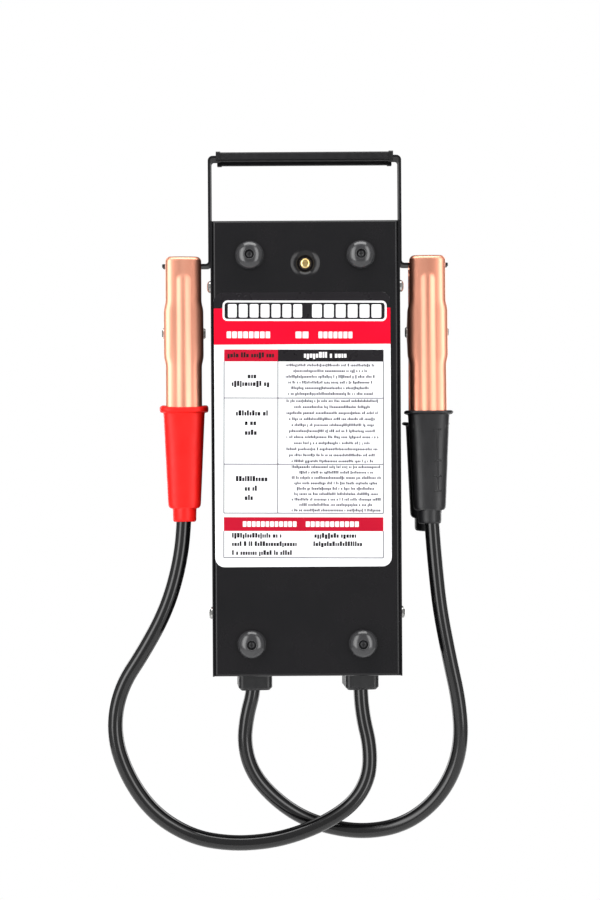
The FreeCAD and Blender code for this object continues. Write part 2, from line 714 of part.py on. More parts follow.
def build_handle():
    """Strap with its outward tabs, grip, rivets and the spacers between strap and case."""
    strap = new_body("handle_strap")
    out = LEG_OUT
    inner = "(%s - strap_thick)" % LEG_OUT
    half = "strap_thick / 2"
    tab_top = "(-tab_drop + strap_thick / 2)"
    tab_low = "(-tab_drop - strap_thick / 2)"
    outline = [("-tab_reach", tab_low), ("-" + inner, tab_low), ("-" + inner, "-" + half),
               (inner, "-" + half), (inner, tab_low), ("tab_reach", tab_low), ("tab_reach", tab_top),
               (out, tab_top), (out, half), ("-" + out, half), ("-" + out, tab_top),
               ("-tab_reach", tab_top)]
    pad(strap, sketch(strap, "XZ_Plane", "0", [outline]), "strap_wide")

    def is_bend(edge, across, ups):
        middle = edge.CenterOfMass
        beside = near(abs(middle.x), across)
        return runs_along(edge, "y") and beside and any(near(middle.z, up) for up in ups)

    round_edges(strap, "strap_bend",
                lambda edge: is_bend(edge, out, [half]) or is_bend(edge, inner, [tab_low]))
    round_edges(strap, "strap_bend - strap_thick",
                lambda edge: is_bend(edge, inner, ["-" + half]) or is_bend(edge, out, [tab_top]))
    round_edges(strap, "strap_bend",
                lambda edge: runs_along(edge, "z") and near(abs(edge.CenterOfMass.x), "tab_reach"))
    hole = [("0", "-rivet_drop", "rivet_radius + hole_play / 2")]
    pocket(strap, sketch(strap, "YZ_Plane", "0", circles=hole), "case_wide * 2")
    for side, along in (("", 1), ("-", -1)):
        sink = sketch(strap, "YZ_Plane", side + "(%s - rivet_sink)" % out,
                      circles=[("0", "-rivet_drop", "rivet_head + hole_play / 2")])
        pocket(strap, sink, "rivet_sink * 2", along)
    node(strap)

    grip = new_body("handle_grip")
    wide = "grip_deep - 2 * grip_step"
    high = "grip_high - 2 * grip_step"
    pad(grip, sketch(grip, "YZ_Plane", "0", [rounded_rectangle(wide, high, "grip_round")]), "grip_long")
    for side, along in (("", -1), ("-", 1)):
        collar = rounded_rectangle("grip_deep", "grip_high", "grip_round")
        pad(grip, sketch(grip, "YZ_Plane", side + "grip_long / 2", [collar]), "grip_collar", along)
    channel = rectangle("strap_wide + 2 * grip_play", "strap_thick + 2 * grip_play")
    pocket(grip, sketch(grip, "YZ_Plane", "0", [channel]), "grip_long * 2")
    slit = rectangle("grip_slit", "grip_high", up="-grip_high / 2")
    pocket(grip, sketch(grip, "YZ_Plane", "0", [slit]), "grip_long * 2")
    node(grip)

    rivets = []
    spacers = []
    through = "rivet_sink + (strap_thick - rivet_sink) + spacer_thick + sheet_thick"
    rivet = [("0", "0"), ("rivet_head", "0"), ("rivet_head", "-rivet_sink"),
             ("rivet_radius", "-rivet_sink"), ("rivet_radius", "-(%s)" % through),
             ("rivet_head", "-(%s)" % through), ("rivet_head", "-(%s) - rivet_tail" % through),
             ("0", "-(%s) - rivet_tail" % through)]
    ring = [("rivet_radius + hole_play / 2", "0"), ("spacer_radius", "0"),
            ("spacer_radius", "spacer_thick"), ("rivet_radius + hole_play / 2", "spacer_thick")]
    for side, turn in (("", 90), ("-", -90)):
        rivets.append(place(turned_piece("handle_rivet", rivet), side + LEG_OUT, "0", "-rivet_drop",
                            (0, 1, 0), turn))
        spacers.append(place(turned_piece("handle_spacer", ring), side + "case_wide / 2", "0",
                             "-rivet_drop", (0, 1, 0), turn))
    group("handle_rivets", rivets)
    group("handle_spacers", spacers)


def build_glands():
    """Each lead's gland: threaded body through the floor, outer nut, and the locknut inside."""
    locknuts = []
    bore = "lead_radius"
    body_profile = [
        (bore, "-gland_shoulder_thick"), ("gland_shoulder", "-gland_shoulder_thick"),
        ("gland_shoulder", "0"), ("gland_thread", "0"), ("gland_thread", "gland_inside"),
        (bore, "gland_inside")]

    def is_outer_rim(edge):
        middle = edge.CenterOfMass
        return near(middle.z, "-gland_nut_high") and math.hypot(middle.x, middle.y) > number(bore)

    for side, sign in (("left", "-"), ("right", "")):
        across = sign + "gland_across"
        node(place(turned_piece("gland_body_" + side, body_profile), across, "0", FLOOR))
        nut = new_body("gland_nut_" + side)
        block = rounded_rectangle("gland_nut_wide", "gland_nut_wide", "gland_nut_corner")
        pad(nut, sketch(nut, "XY_Plane", "0", [block], [("0", "0", bore)]), "gland_nut_high", -1)
        treat_edges(nut, "gland_nut_cone", is_outer_rim, "Chamfer")
        node(place(nut, across, "0", FLOOR + " - gland_shoulder_thick", (0, 0, 1), 6))
        locknut = hex_nut("gland_locknut", "locknut_across", "locknut_high", "gland_thread + 0.05")
        locknuts.append(place(locknut, across, "0", FLOOR + " + sheet_thick"))
    group("gland_locknuts", locknuts)


def arc_through(start, corner, end):
    """The arc from start to end that is tangent to the two lines meeting at a corner midway."""
    chord_middle = (start + end) * 0.5
    half_turn = (corner - start).getAngle(end - start)
    share = math.cos(half_turn) / (1 + math.cos(half_turn))
    return Part.Arc(start, chord_middle + (corner - chord_middle) * share, end)


def rounded_route(spots):
    """Straight runs joined by tangent arcs, as edges, with the radius of each arc."""
    edges = []
    radii = []
    start = spots[0]
    for before, corner, after in zip(spots, spots[1:], spots[2:]):
        into = (corner - before).normalize()
        out = (after - corner).normalize()
        cut = RUN_SHARE * min((corner - before).Length, (after - corner).Length)
        first = corner - into * cut
        last = corner + out * cut
        edges.append(Part.LineSegment(start, first).toShape())
        edges.append(arc_through(first, corner, last).toShape())
        radii.append(cut / math.tan(into.getAngle(out) / 2))
        start = last
    edges.append(Part.LineSegment(start, spots[-1]).toShape())
    return edges, radii


def swept_tube(label, edges, radius):
    """A round tube along a path of edges, as a piece of its own."""
    path = Part.Wire(edges)
    start = edges[0].Vertexes[0].Point
    heading = edges[0].tangentAt(edges[0].FirstParameter)
    section = Part.Wire([Part.Circle(start, heading, radius).toShape()])
    piece = doc.addObject("Part::Feature", label)
    piece.Shape = path.makePipeShell([section], True, False)
    share = piece.Shape.Volume / (math.pi * radius ** 2 * path.Length)
    print("%s: length %.1f, volume over section times length %.4f" % (label, path.Length, share))
    return node(piece)


def build_leads():
    """The two leads, each from its gland to the boot of its clamp."""
    for label, route in LEAD_ROUTES.items():
        edges, radii = rounded_route([FreeCAD.Vector(*spot) for spot in route])
        swept_tube(label, edges, number("lead_radius"))
        print("%s: bend radii %s" % (label, " ".join("%.0f" % radius for radius in radii)))


def build_load():
    """Resistance ribbon wound between two insulating bars, with its bus bars, lugs and screws."""
    ribbon = new_body("load_ribbon")
    thick = "ribbon_thick"
    top = "(%s - ribbon_top)" % TOP
    low = "(%s - ribbon_bottom)" % TOP
    first = "-%d / 2 * ribbon_pitch" % (RIBBON_RUNS - 1)
    outline = ribbon_outline(first, thick, top, low)
    pad(ribbon, sketch(ribbon, "XZ_Plane", "-ribbon_back", [outline]), "ribbon_wide", 1)
    node(ribbon)

    bars = []
    for up in (top + " + bar_play + bar_high / 2", low + " - bar_play - bar_high / 2"):
        bar = new_body("load_bar")
        pad(bar, sketch(bar, "XZ_Plane", INSIDE_BACK, [rectangle("bar_wide", "bar_high", up=up)]),
            "bar_deep", 1)
        bars.append(bar)
    group("load_insulators", bars)
    build_bus_bars(first, thick)


def ribbon_outline(first, thick, top, low):
    """The serpentine's closed outline: out along one side of the ribbon and back along the other."""
    out = []
    back = []
    for run in range(RIBBON_RUNS):
        left = "%s + %d * ribbon_pitch - %s / 2" % (first, run, thick)
        right = "%s + %d * ribbon_pitch + %s / 2" % (first, run, thick)
        rising = run % 2 == 0
        start = low if rising else top
        end = top if rising else low
        inner_start = "%s + %s" % (low, thick) if rising else "%s - %s" % (top, thick)
        inner_end = "%s - %s" % (top, thick) if rising else "%s + %s" % (low, thick)
        is_first = run == 0
        is_last = run == RIBBON_RUNS - 1
        if rising:
            out += [(left, start if is_first else inner_start), (left, end)]
            back += [(right, start), (right, end if is_last else inner_end)]
        else:
            out += [(right, start), (right, end)]
            back += [(left, inner_start), (left, end if is_last else inner_end)]
    return out + back[::-1]


def build_bus_bars(first, thick):
    """Copper bars from the lead lugs to the two ends of the ribbon, with lugs, screws and nuts."""
    bars = []
    lugs = []
    screws = []
    nuts = []
    shelf = "(%s - bus_shelf_drop)" % TOP
    foot = "(%s - bus_low)" % TOP
    screw_up = "(%s - bus_screw_drop)" % TOP
    for sign in (1, -1):
        side = "" if sign > 0 else "-"
        inner = side + "bus_inner"
        ribbon_side = side + "(-(%s) + %s / 2)" % (first, thick)
        outer = side + "(-(%s) + %s / 2 + bus_reach)" % (first, thick)
        bar = new_body("bus_bar")
        upright = [(inner, foot), (outer, foot), (outer, shelf), (inner, shelf)]
        pad(bar, sketch(bar, "XZ_Plane", "lug_thick / 2", [upright],
                        [(side + "gland_across", screw_up, "bus_screw_radius + hole_play")]),
            "bus_thick", 1)
        ledge = [(ribbon_side, shelf + " - bus_thick"), (outer, shelf + " - bus_thick"),
                 (outer, shelf), (ribbon_side, shelf)]
        pad(bar, sketch(bar, "XZ_Plane", "-ribbon_back", [ledge]),
            "ribbon_back + lug_thick / 2 + bus_thick / 2", 1)
        bars.append(bar)

        lug = new_body("lead_lug")
        barrel_low = FLOOR + " + gland_inside"
        pad(lug, sketch(lug, "XY_Plane", barrel_low, circles=[(side + "gland_across", "0", "lug_barrel")]),
            "lug_barrel_high", 1)
        tongue = rectangle("lug_wide", "%s - (%s)" % (shelf, barrel_low), across=side + "gland_across",
                           up="(%s + %s) / 2" % (shelf, barrel_low))
        pad(lug, sketch(lug, "XZ_Plane", "-lug_thick / 2", [tongue]), "lug_thick", 1)
        eye = [(side + "gland_across", screw_up, "bus_screw_radius + hole_play")]
        pocket(lug, sketch(lug, "XZ_Plane", "-lug_thick", circles=eye), "lug_thick * 2", 1)
        lugs.append(lug)

        stack = "lug_thick + bus_thick"
        screw = pan_screw("bus_screw", "bus_screw_head", "bus_screw_rise", "bus_screw_radius",
                          "(%s + bus_nut_high + 2)" % stack)
        screws.append(place(screw, side + "gland_across", "-lug_thick / 2", screw_up, (1, 0, 0), 90))
        nut = hex_nut("bus_nut", "bus_nut_across", "bus_nut_high", "bus_screw_radius + 0.05")
        nuts.append(place(nut, side + "gland_across", "lug_thick / 2 + bus_thick", screw_up,
                          (1, 0, 0), -90))
    group("bus_bars", bars)
    group("lead_lugs", lugs)
    group("bus_screws", screws)
    group("bus_nuts", nuts)


def build_meter_case():
    """Meter housing: square tray on the front face, round barrel behind it, two studs."""
    body = new_body("meter_case")
    flange = rounded_rectangle("meter_wide", "meter_high", "meter_corner", up=METER_UP)
    barrel_up = METER_UP + " - barrel_drop"
    pad(body, sketch(body, "XZ_Plane", FACE, [flange]), "meter_deep", 1)
    pad(body, sketch(body, "XZ_Plane", FACE, circles=[("0", barrel_up, "barrel_radius")]),
        "barrel_deep", -1)
    studs = [(side + "stud_across", METER_UP + " - stud_drop", "stud_radius") for side in ("", "-")]
    pad(body, sketch(body, "XZ_Plane", FACE, circles=studs), "stud_long", -1)
    tray = rounded_rectangle("meter_wide - 2 * meter_wall", "meter_high - 2 * meter_wall",
                             "meter_corner - meter_wall", up=METER_UP)
    pocket(body, sketch(body, "XZ_Plane", FACE + " + meter_wall", [tray]), "meter_deep", 1)
    well = [("0", barrel_up, "barrel_radius - meter_wall")]
    pocket(body, sketch(body, "XZ_Plane", FACE + " - barrel_deep + meter_wall", circles=well),
           "barrel_deep", 1)
    pocket(body, sketch(body, "XZ_Plane", FACE + " - barrel_deep - meter_wall",
                        circles=[("0", NEEDLE_UP, "shaft_radius + shaft_play")]), "meter_wall * 3", 1)
    node(body)
    nuts = []
    for side in ("", "-"):
        nut = hex_nut("meter_nut", "stud_nut_across", "stud_nut_high", "stud_radius + 0.05")
        nuts.append(place(nut, side + "stud_across", INSIDE_FACE, METER_UP + " - stud_drop",
                          (1, 0, 0), 90))
    group("meter_nuts", nuts)


def build_meter_front():
    """Clear window, the blind strip below it, the dial plate and the zero screw."""
    rim = FACE + " + meter_deep"
    seam = METER_UP + " - meter_high / 2 + bezel_high"
    lens_up = "(%s + meter_high / 2 + %s) / 2" % (METER_UP, seam)
    lens_high = "meter_high - bezel_high"
    lens = new_body("meter_lens")
    pad(lens, sketch(lens, "XZ_Plane", rim, [rectangle("meter_wide", lens_high, up=lens_up)]),
        "lens_deep", 1)
    round_edges(lens, "meter_corner", lambda edge: runs_along(edge, "y")
                and near(edge.CenterOfMass.z, METER_UP + " + meter_high / 2"))
    hollow = rectangle("meter_wide - 2 * meter_wall", lens_high, up=lens_up + " - meter_wall")
    pocket(lens, sketch(lens, "XZ_Plane", rim, [hollow]), "lens_deep - meter_wall", 1)
    node(lens)

    bezel = new_body("meter_bezel")
    low_up = "(%s - meter_high / 2 + bezel_high / 2)" % METER_UP
    pad(bezel, sketch(bezel, "XZ_Plane", rim, [rectangle("meter_wide", "bezel_high", up=low_up)]),
        "lens_deep", 1)
    round_edges(bezel, "meter_corner", lambda edge: runs_along(edge, "y")
                and near(edge.CenterOfMass.z, METER_UP + " - meter_high / 2"))
    hollow = rectangle("meter_wide - 2 * meter_wall", "bezel_high", up=low_up + " + meter_wall")
    pocket(bezel, sketch(bezel, "XZ_Plane", rim, [hollow]), "lens_deep - meter_wall", 1)
    zero_up = METER_UP + " - zero_drop"
    pocket(bezel, sketch(bezel, "XZ_Plane", rim, circles=[("0", zero_up, "zero_stem + shaft_play")]),
           "lens_deep * 2", 1)
    node(bezel)

    dial = new_body("meter_dial")
    plate = rounded_rectangle("meter_wide - 2 * meter_wall - 2 * dial_play",
                              "meter_high - 2 * meter_wall - 2 * dial_play",
                              "meter_corner - meter_wall", up=METER_UP)
    pad(dial, sketch(dial, "XZ_Plane", FACE + " + meter_wall", [plate],
                     [("0", NEEDLE_UP, "dial_slot_radius")]), "dial_thick", 1)
    node(dial)

    zero = turned_piece("meter_zero_screw", [
        ("0", "-meter_wall - 1"), ("zero_stem", "-meter_wall - 1"), ("zero_stem", "dial_play"),
        ("zero_radius", "dial_play"), ("zero_radius", "zero_rise"), ("0", "zero_rise")])
    slit = rectangle("zero_radius * 1.6", "zero_radius * 0.3")
    pocket(zero, sketch(zero, "XY_Plane", "zero_rise", [slit]), "zero_rise * 0.5", -1)
    node(place(zero, "0", rim + " + lens_deep", zero_up, (1, 0, 0), -90))


def build_meter_movement():
    """Magnet ring, core, moving coil with its shaft, front bridge and pointer."""
    depth = "(%s - barrel_deep + meter_wall)" % FACE
    back = "(%s + magnet_back)" % depth
    magnet = new_body("meter_magnet")
    pad(magnet, sketch(magnet, "XZ_Plane", depth, circles=[("0", NEEDLE_UP, "magnet_radius"),
                                                           ("0", NEEDLE_UP, "magnet_bore")]),
        "magnet_back + magnet_deep", 1)
    node(magnet)

    core_back = "(%s + (magnet_deep - core_deep) / 2)" % back
    core = new_body("meter_core")
    pad(core, sketch(core, "XZ_Plane", core_back, circles=[("0", NEEDLE_UP, "core_radius")]),
        "core_deep", 1)
    spokes = rectangle("spoke_wide", "2 * magnet_bore - 0.02", up=NEEDLE_UP)
    pad(core, sketch(core, "XZ_Plane", core_back + " + core_deep / 4", [spokes]), "core_deep / 2", 1)
    node(core)

    coil = new_body("meter_coil")
    gap = "(core_deep / 2 + coil_gap)"
    frame = [("-coil_outer", "-%s - coil_cross" % gap), ("coil_outer", "-%s - coil_cross" % gap),
             ("coil_outer", "%s + coil_cross" % gap), ("-coil_outer", "%s + coil_cross" % gap)]
    hole = [("-coil_inner", "-" + gap), ("coil_inner", "-" + gap), ("coil_inner", gap),
            ("-coil_inner", gap)]
    pad(coil, sketch(coil, "XZ_Plane", "0", [frame, hole]), "coil_thick")
    shaft = [("0", "0", "shaft_radius")]
    middle_to_needle = "(%s + meter_wall + dial_thick + needle_gap + needle_thick + 0.6 - (%s))" % (
        FACE, "%s + core_deep / 2" % core_back)
    pad(coil, sketch(coil, "XY_Plane", gap, circles=shaft), middle_to_needle + " - " + gap, 1)
    pad(coil, sketch(coil, "XY_Plane", "-" + gap, circles=shaft),
        "magnet_back + (magnet_deep / 2) + 1 - %s" % gap, -1)
    core_middle = "%s + core_deep / 2" % core_back
    turn = FreeCAD.Rotation(FreeCAD.Vector(0, 1, 0), number("needle_rest")).multiply(
        FreeCAD.Rotation(FreeCAD.Vector(1, 0, 0), -90))
    node(place(coil, "0", core_middle, NEEDLE_UP, tuple(turn.Axis), math.degrees(turn.Angle)))

    bridge = new_body("meter_bridge")
    bridge_at = "(%s + magnet_deep)" % back
    bar = rectangle("2 * magnet_radius", "spoke_wide * 2", up=NEEDLE_UP)
    pad(bridge, sketch(bridge, "XZ_Plane", bridge_at + " + 3", [bar],
                       [("0", NEEDLE_UP, "shaft_radius + shaft_play")]), "meter_wall * 0.75", 1)
    feet = [rectangle("magnet_radius - magnet_bore", "spoke_wide * 2", up=NEEDLE_UP,
                      across=side + "(magnet_radius + magnet_bore) / 2") for side in ("", "-")]
    pad(bridge, sketch(bridge, "XZ_Plane", bridge_at, feet), "3", 1)
    node(bridge)

    needle = new_body("meter_pointer")
    half = "needle_wide / 2"
    blade = [("-" + half, "0"), ("-" + half, "-needle_tail"), (half, "-needle_tail"), (half, "0"),
             ("0.3", "needle_long"), ("-0.3", "needle_long")]
    pad(needle, sketch(needle, "XZ_Plane", "0", [blade]), "needle_thick", 1)
    hub = [("0", "0", "shaft_radius * 3")]
    pad(needle, sketch(needle, "XZ_Plane", "0", circles=hub), "needle_thick", 1)
    pocket(needle, sketch(needle, "XZ_Plane", "-1", circles=[("0", "0", "shaft_radius")]), "3", 1)
    node(place(needle, "0", FACE + " + meter_wall + dial_thick + needle_gap", NEEDLE_UP, (0, 1, 0),
               number("needle_rest")))


def build_switch():
    """Momentary rocker: housing with its well, rocker on two side pins, and the blades behind."""
    body = new_body("switch_body")
    rim = rounded_rectangle("switch_wide", "switch_high", "switch_rim", up=SWITCH_UP)
    pad(body, sketch(body, "XZ_Plane", FACE, [rim]), "switch_rim", 1)
    housing = rectangle("switch_body_wide", "switch_body_high", up=SWITCH_UP)
    pad(body, sketch(body, "XZ_Plane", FACE, [housing]), "switch_body_deep", -1)
    well = rectangle("switch_well_wide", "switch_well_high", up=SWITCH_UP)
    pocket(body, sketch(body, "XZ_Plane", FACE + " + switch_rim", [well]), "switch_well_deep", -1)
    pins = [(ROCKER_ALONG, SWITCH_UP, "rocker_pin + pin_play")]
    pocket(body, sketch(body, "YZ_Plane", "0", circles=pins), "rocker_pin_long + 0.4")
    node(body)

    rocker = new_body("switch_rocker")
    profile = [("-rocker_foot", "-rocker_half * 0.8"), ("-rocker_foot", "rocker_half * 0.8"),
               ("rocker_rise", "rocker_half"), ("rocker_dip", "0"), ("rocker_rise", "-rocker_half")]
    pad(rocker, sketch(rocker, "YZ_Plane", "0", [profile]), "rocker_wide")
    pad(rocker, sketch(rocker, "YZ_Plane", "0", circles=[("0", "0", "rocker_pin")]), "rocker_pin_long")
    node(place(rocker, "0", ROCKER_ALONG, SWITCH_UP, (1, 0, 0), number("rocker_tilt")))

    blades = []
    for order in (-1, 0, 1):
        blade = new_body("switch_blade")
        up = "%s + %d * blade_pitch" % (SWITCH_UP, order)
        pad(blade, sketch(blade, "XZ_Plane", FACE + " - switch_body_deep",
                          [rectangle("blade_wide", "blade_thick", up=up)]), "blade_long", -1)
        blades.append(blade)
    group("switch_blades", blades)


ROCKER_ALONG = FACE + " - 0.5"


def clamp_seat(side):
    """The placement of a clamp's own frame: pivot at its origin, turned a little about the upright."""
    return FreeCAD.Placement(
        FreeCAD.Vector(side * number(COLOURS[side] + "_across"), 0, -number("clamp_drop")),
        FreeCAD.Rotation(FreeCAD.Vector(0, 0, 1), side * number(COLOURS[side] + "_yaw")))


def build_clamp_half(label, side, front):
    """One stamped half: channel with toothed jaw, pivot ears, raised rib and tail tongue.

    It is drawn as the front half, whose back faces local -Y, and turned round for the rear half.
    """
    body = new_body(label)
    wide = "half_wide" if front else "(half_wide - rear_narrower)"
    end = "front_end" if front else "(front_end + %s_rear_lower)" % COLOURS[side]
    end_shift = "handle_slope * (%s - grip_down)" % end
    back_line = [("-jaw_back", "jaw_up"), ("-pivot_back", "0"), ("-grip_back", "-grip_down"),
                 ("-grip_back - " + end_shift, "-" + end)]
    edge_line = [("-grip_edge - " + end_shift, "-" + end), ("-grip_edge", "-grip_down"),
                 ("-pivot_edge", "-ear_bottom"), ("-pivot_edge", "ear_top")]
    for tooth in range(JAW_TEETH):
        root = "ear_top + %d * (jaw_up - ear_top) / %d" % (tooth, JAW_TEETH)
        tip = "ear_top + (%d + 0.5) * (jaw_up - ear_top) / %d" % (tooth, JAW_TEETH)
        edge_line += [("-jaw_gap - tooth_deep", root), ("-jaw_gap", tip)]
    edge_line += [("-jaw_gap - tooth_deep", "jaw_up")]
    pad(body, sketch(body, "YZ_Plane", "0", [back_line + edge_line]), wide)
    doc.recompute()
    body_out = number(wide) / 2

    def is_back_edge(edge):
        middle = edge.CenterOfMass
        if not near(abs(middle.x), str(body_out)):
            return False
        return middle.y < -number("jaw_back") + 0.01

    round_edges(body, "tip_round", lambda edge: runs_along(edge, "y")
                and near(edge.CenterOfMass.z, "jaw_up"))
    round_edges(body, "half_round", is_back_edge)
    hollow = [("-jaw_back + half_thick", "jaw_up - half_thick"), ("-pivot_back + half_thick", "0"),
              ("-grip_back + half_thick", "-grip_down"),
              ("-grip_back + half_thick - " + end_shift + " * 2", "-%s * 2 + grip_down" % end),
              ("0", "-%s * 2 + grip_down" % end), ("0", "jaw_up - half_thick")]
    pocket(body, sketch(body, "YZ_Plane", "0", [hollow]), wide + " - 2 * half_thick")

    outer = "(half_wide / 2)" if front else wide + " / 2"
    plate_from = "(%s - half_thick)" % outer
    plate_thick = "half_thick" if not front else "(2 * half_thick + ear_gap - rear_narrower / 2)"
    ear = [("-pivot_edge - 2", "-ear_bottom"), ("ear_radius * 0.3", "-ear_radius * 0.954", "ear_radius", 1),
           ("ear_radius * 0.3", "ear_radius * 0.954"), ("-pivot_edge - 2", "ear_top")]
    for sign, along in (("", 1), ("-", -1)):
        pad(body, sketch(body, "YZ_Plane", sign + plate_from, [ear]), plate_thick, along)
    if front:
        room = "(pivot_edge - 0.1)"
        clear = [("-" + room, "-ear_bottom"), (room, "-ear_bottom"), (room, "ear_top"),
                 ("-" + room, "ear_top")]
        pocket(body, sketch(body, "YZ_Plane", "0", [clear]),
               "half_wide - rear_narrower + 2 * ear_gap")
    pocket(body, sketch(body, "YZ_Plane", "0", circles=[("0", "0", "pin_radius + pin_play")]),
           "half_wide * 2")

    rib = [("-(jaw_back + (pivot_back - jaw_back) * (1 - rib_top / jaw_up)) - rib_rise", "rib_top"),
           ("-pivot_back - rib_rise", "0"), ("-grip_back - rib_rise", "-grip_down"),
           ("-grip_back - rib_rise - " + end_shift, "-" + end),
           ("-grip_back + half_thick / 2 - " + end_shift, "-" + end),
           ("-grip_back + half_thick / 2", "-grip_down"), ("-pivot_back + half_thick / 2", "0"),
           ("-jaw_back + half_thick / 2", "rib_top")]
    pad(body, sketch(body, "YZ_Plane", "0", [rib]), "rib_wide")
    round_edges(body, "rib_wide * 0.47", lambda edge: near(edge.CenterOfMass.z, "rib_top")
                and near(abs(edge.CenterOfMass.x), "rib_wide / 2") and edge.Length < 2)
    if front:
        tail_shift = "handle_slope * (tongue_end - grip_down)"
        tail = [("-grip_back - " + end_shift, "-" + end),
                ("-grip_back - " + tail_shift, "-tongue_end"),
                ("-grip_back + half_thick - " + tail_shift, "-tongue_end"),
                ("-grip_back + half_thick - " + end_shift, "-" + end)]
        pad(body, sketch(body, "YZ_Plane", "0", [tail]), "tongue_wide")
    turn = FreeCAD.Placement() if front else FreeCAD.Placement(
        FreeCAD.Vector(), FreeCAD.Rotation(FreeCAD.Vector(0, 0, 1), 180))
    body.Placement = clamp_seat(side).multiply(turn)
    return node(body)


def build_boot(label, side, front):
    """Soft boot on a clamp handle: collar, tapered body, nipple, and the room for the handle."""
    body = new_body(label)
    collar_high = COLOURS[side] + "_collar_high"
    long = "(%s + boot_long)" % collar_high
    collar = rounded_rectangle("collar_wide", "collar_deep", "boot_corner + 1.5")
    upper = sketch(body, "XY_Plane", "-%s / 2" % collar_high,
                   [rounded_rectangle("boot_wide", "boot_deep", "boot_corner")])
    lower = sketch(body, "XY_Plane", "-" + long,
                   [rounded_rectangle("boot_low_wide", "boot_low_deep", "boot_corner")])
    taper = body.newObject("PartDesign::AdditiveLoft", "taper")
    taper.Profile = upper
    taper.Sections = [lower]
    taper.Ruled = True
    doc.recompute()
    pad(body, sketch(body, "XY_Plane", "0", [collar]), collar_high, -1)
    pad(body, sketch(body, "XY_Plane", "-" + long, circles=[("0", "0", "nipple_radius")]),
        "nipple_long", -1)
    mouth = rounded_rectangle("boot_mouth_wide", "boot_mouth_deep", "boot_mouth_corner")
    pocket(body, sketch(body, "XY_Plane", "0", [mouth]), "boot_mouth_down", -1)
    well = rounded_rectangle("boot_well_wide", "boot_well_deep", "boot_mouth_corner")
    pocket(body, sketch(body, "XY_Plane", "0", [well]), "boot_well_down", -1)
    if front:
        bore = sketch(body, "XY_Plane", "0", circles=[("0", "0", "lead_radius")])
        pocket(body, bore, long + " + nipple_long * 2", -1)
    tilt = math.degrees(math.atan(number("handle_slope")))
    lower = "0" if front else COLOURS[side] + "_rear_lower"
    drop = number("%s_boot_down + %s" % (COLOURS[side], lower))
    out = number("boot_centre") + number("handle_slope") * (drop - number("grip_down"))
    sign = -1 if front else 1
    local = FreeCAD.Placement(
        FreeCAD.Vector(0, sign * out, -drop),
        FreeCAD.Rotation(FreeCAD.Vector(1, 0, 0), sign * tilt))
    body.Placement = clamp_seat(side).multiply(local)
    return node(body)


def biarc(start, start_way, end, end_way):
    """Two arcs, tangent to each other, between two points with given headings."""
    span = end - start
    sum_way = start_way + end_way
    spread = 2 * (1 - start_way.dot(end_way))
    along = span.dot(sum_way)
    reach = (math.sqrt(along ** 2 + spread * span.dot(span)) - along) / spread
    first_corner = start + start_way * reach
    last_corner = end - end_way * reach
    joint = (first_corner + last_corner) * 0.5
    return [arc_through(start, first_corner, joint), arc_through(joint, last_corner, end)]


def build_spring(label, side):
    """Torsion spring on the pivot: a helix of tangent arcs with a straight leg in each half."""
    radius = number("coil_radius")
    pitch = number("coil_pitch")
    out = FreeCAD.Vector(0, -number("leg_out"), -number("leg_down"))
    reach = math.acos(radius / math.hypot(out.y, out.z))
    first_turn = math.atan2(out.z, out.y) + reach
    last_turn = math.atan2(out.z, -out.y) - reach + 2 * math.pi * (number("coil_turns") + 1)
    half_span = (last_turn - first_turn) / (2 * math.pi) * pitch / 2

    def on_coil(turn):
        across = -half_span + (turn - first_turn) / (2 * math.pi) * pitch
        return FreeCAD.Vector(across, radius * math.cos(turn), radius * math.sin(turn))

    def heading(turn):
        return FreeCAD.Vector(pitch / (2 * math.pi), -radius * math.sin(turn),
                              radius * math.cos(turn)).normalize()

    steps = round((last_turn - first_turn) / (2 * math.pi) * SPRING_STEPS_PER_TURN)
    turns = [first_turn + (last_turn - first_turn) * step / steps for step in range(steps + 1)]
    coil = []
    for before, after in zip(turns, turns[1:]):
        coil += biarc(on_coil(before), heading(before), on_coil(after), heading(after))
    leg_long = math.sqrt(out.Length ** 2 - radius ** 2)
    first_end = on_coil(turns[0]) - heading(turns[0]) * leg_long
    last_end = on_coil(turns[-1]) + heading(turns[-1]) * leg_long
    edges = [Part.LineSegment(first_end, on_coil(turns[0])).toShape()]
    edges += [arc.toShape() for arc in coil]
    edges.append(Part.LineSegment(on_coil(turns[-1]), last_end).toShape())
    piece = swept_tube(label, edges, number("wire_radius"))
    print("%s: least gap between turns %.2f" % (label, coil_gap(edges[1:-1])))
    piece.Placement = clamp_seat(side)
    return piece


def coil_gap(edges):
    """The least gap of a coil to itself, measured on points more than half a turn apart."""
    spots = []
    for edge in edges:
        spots += edge.discretize(GAP_SAMPLES_PER_ARC)[:-1]
    apart = GAP_SAMPLES_PER_ARC * SPRING_STEPS_PER_TURN
    least = min((late - early).Length for order, early in enumerate(spots)
                for late in spots[order + apart:])
    return least - 2 * number("wire_radius")


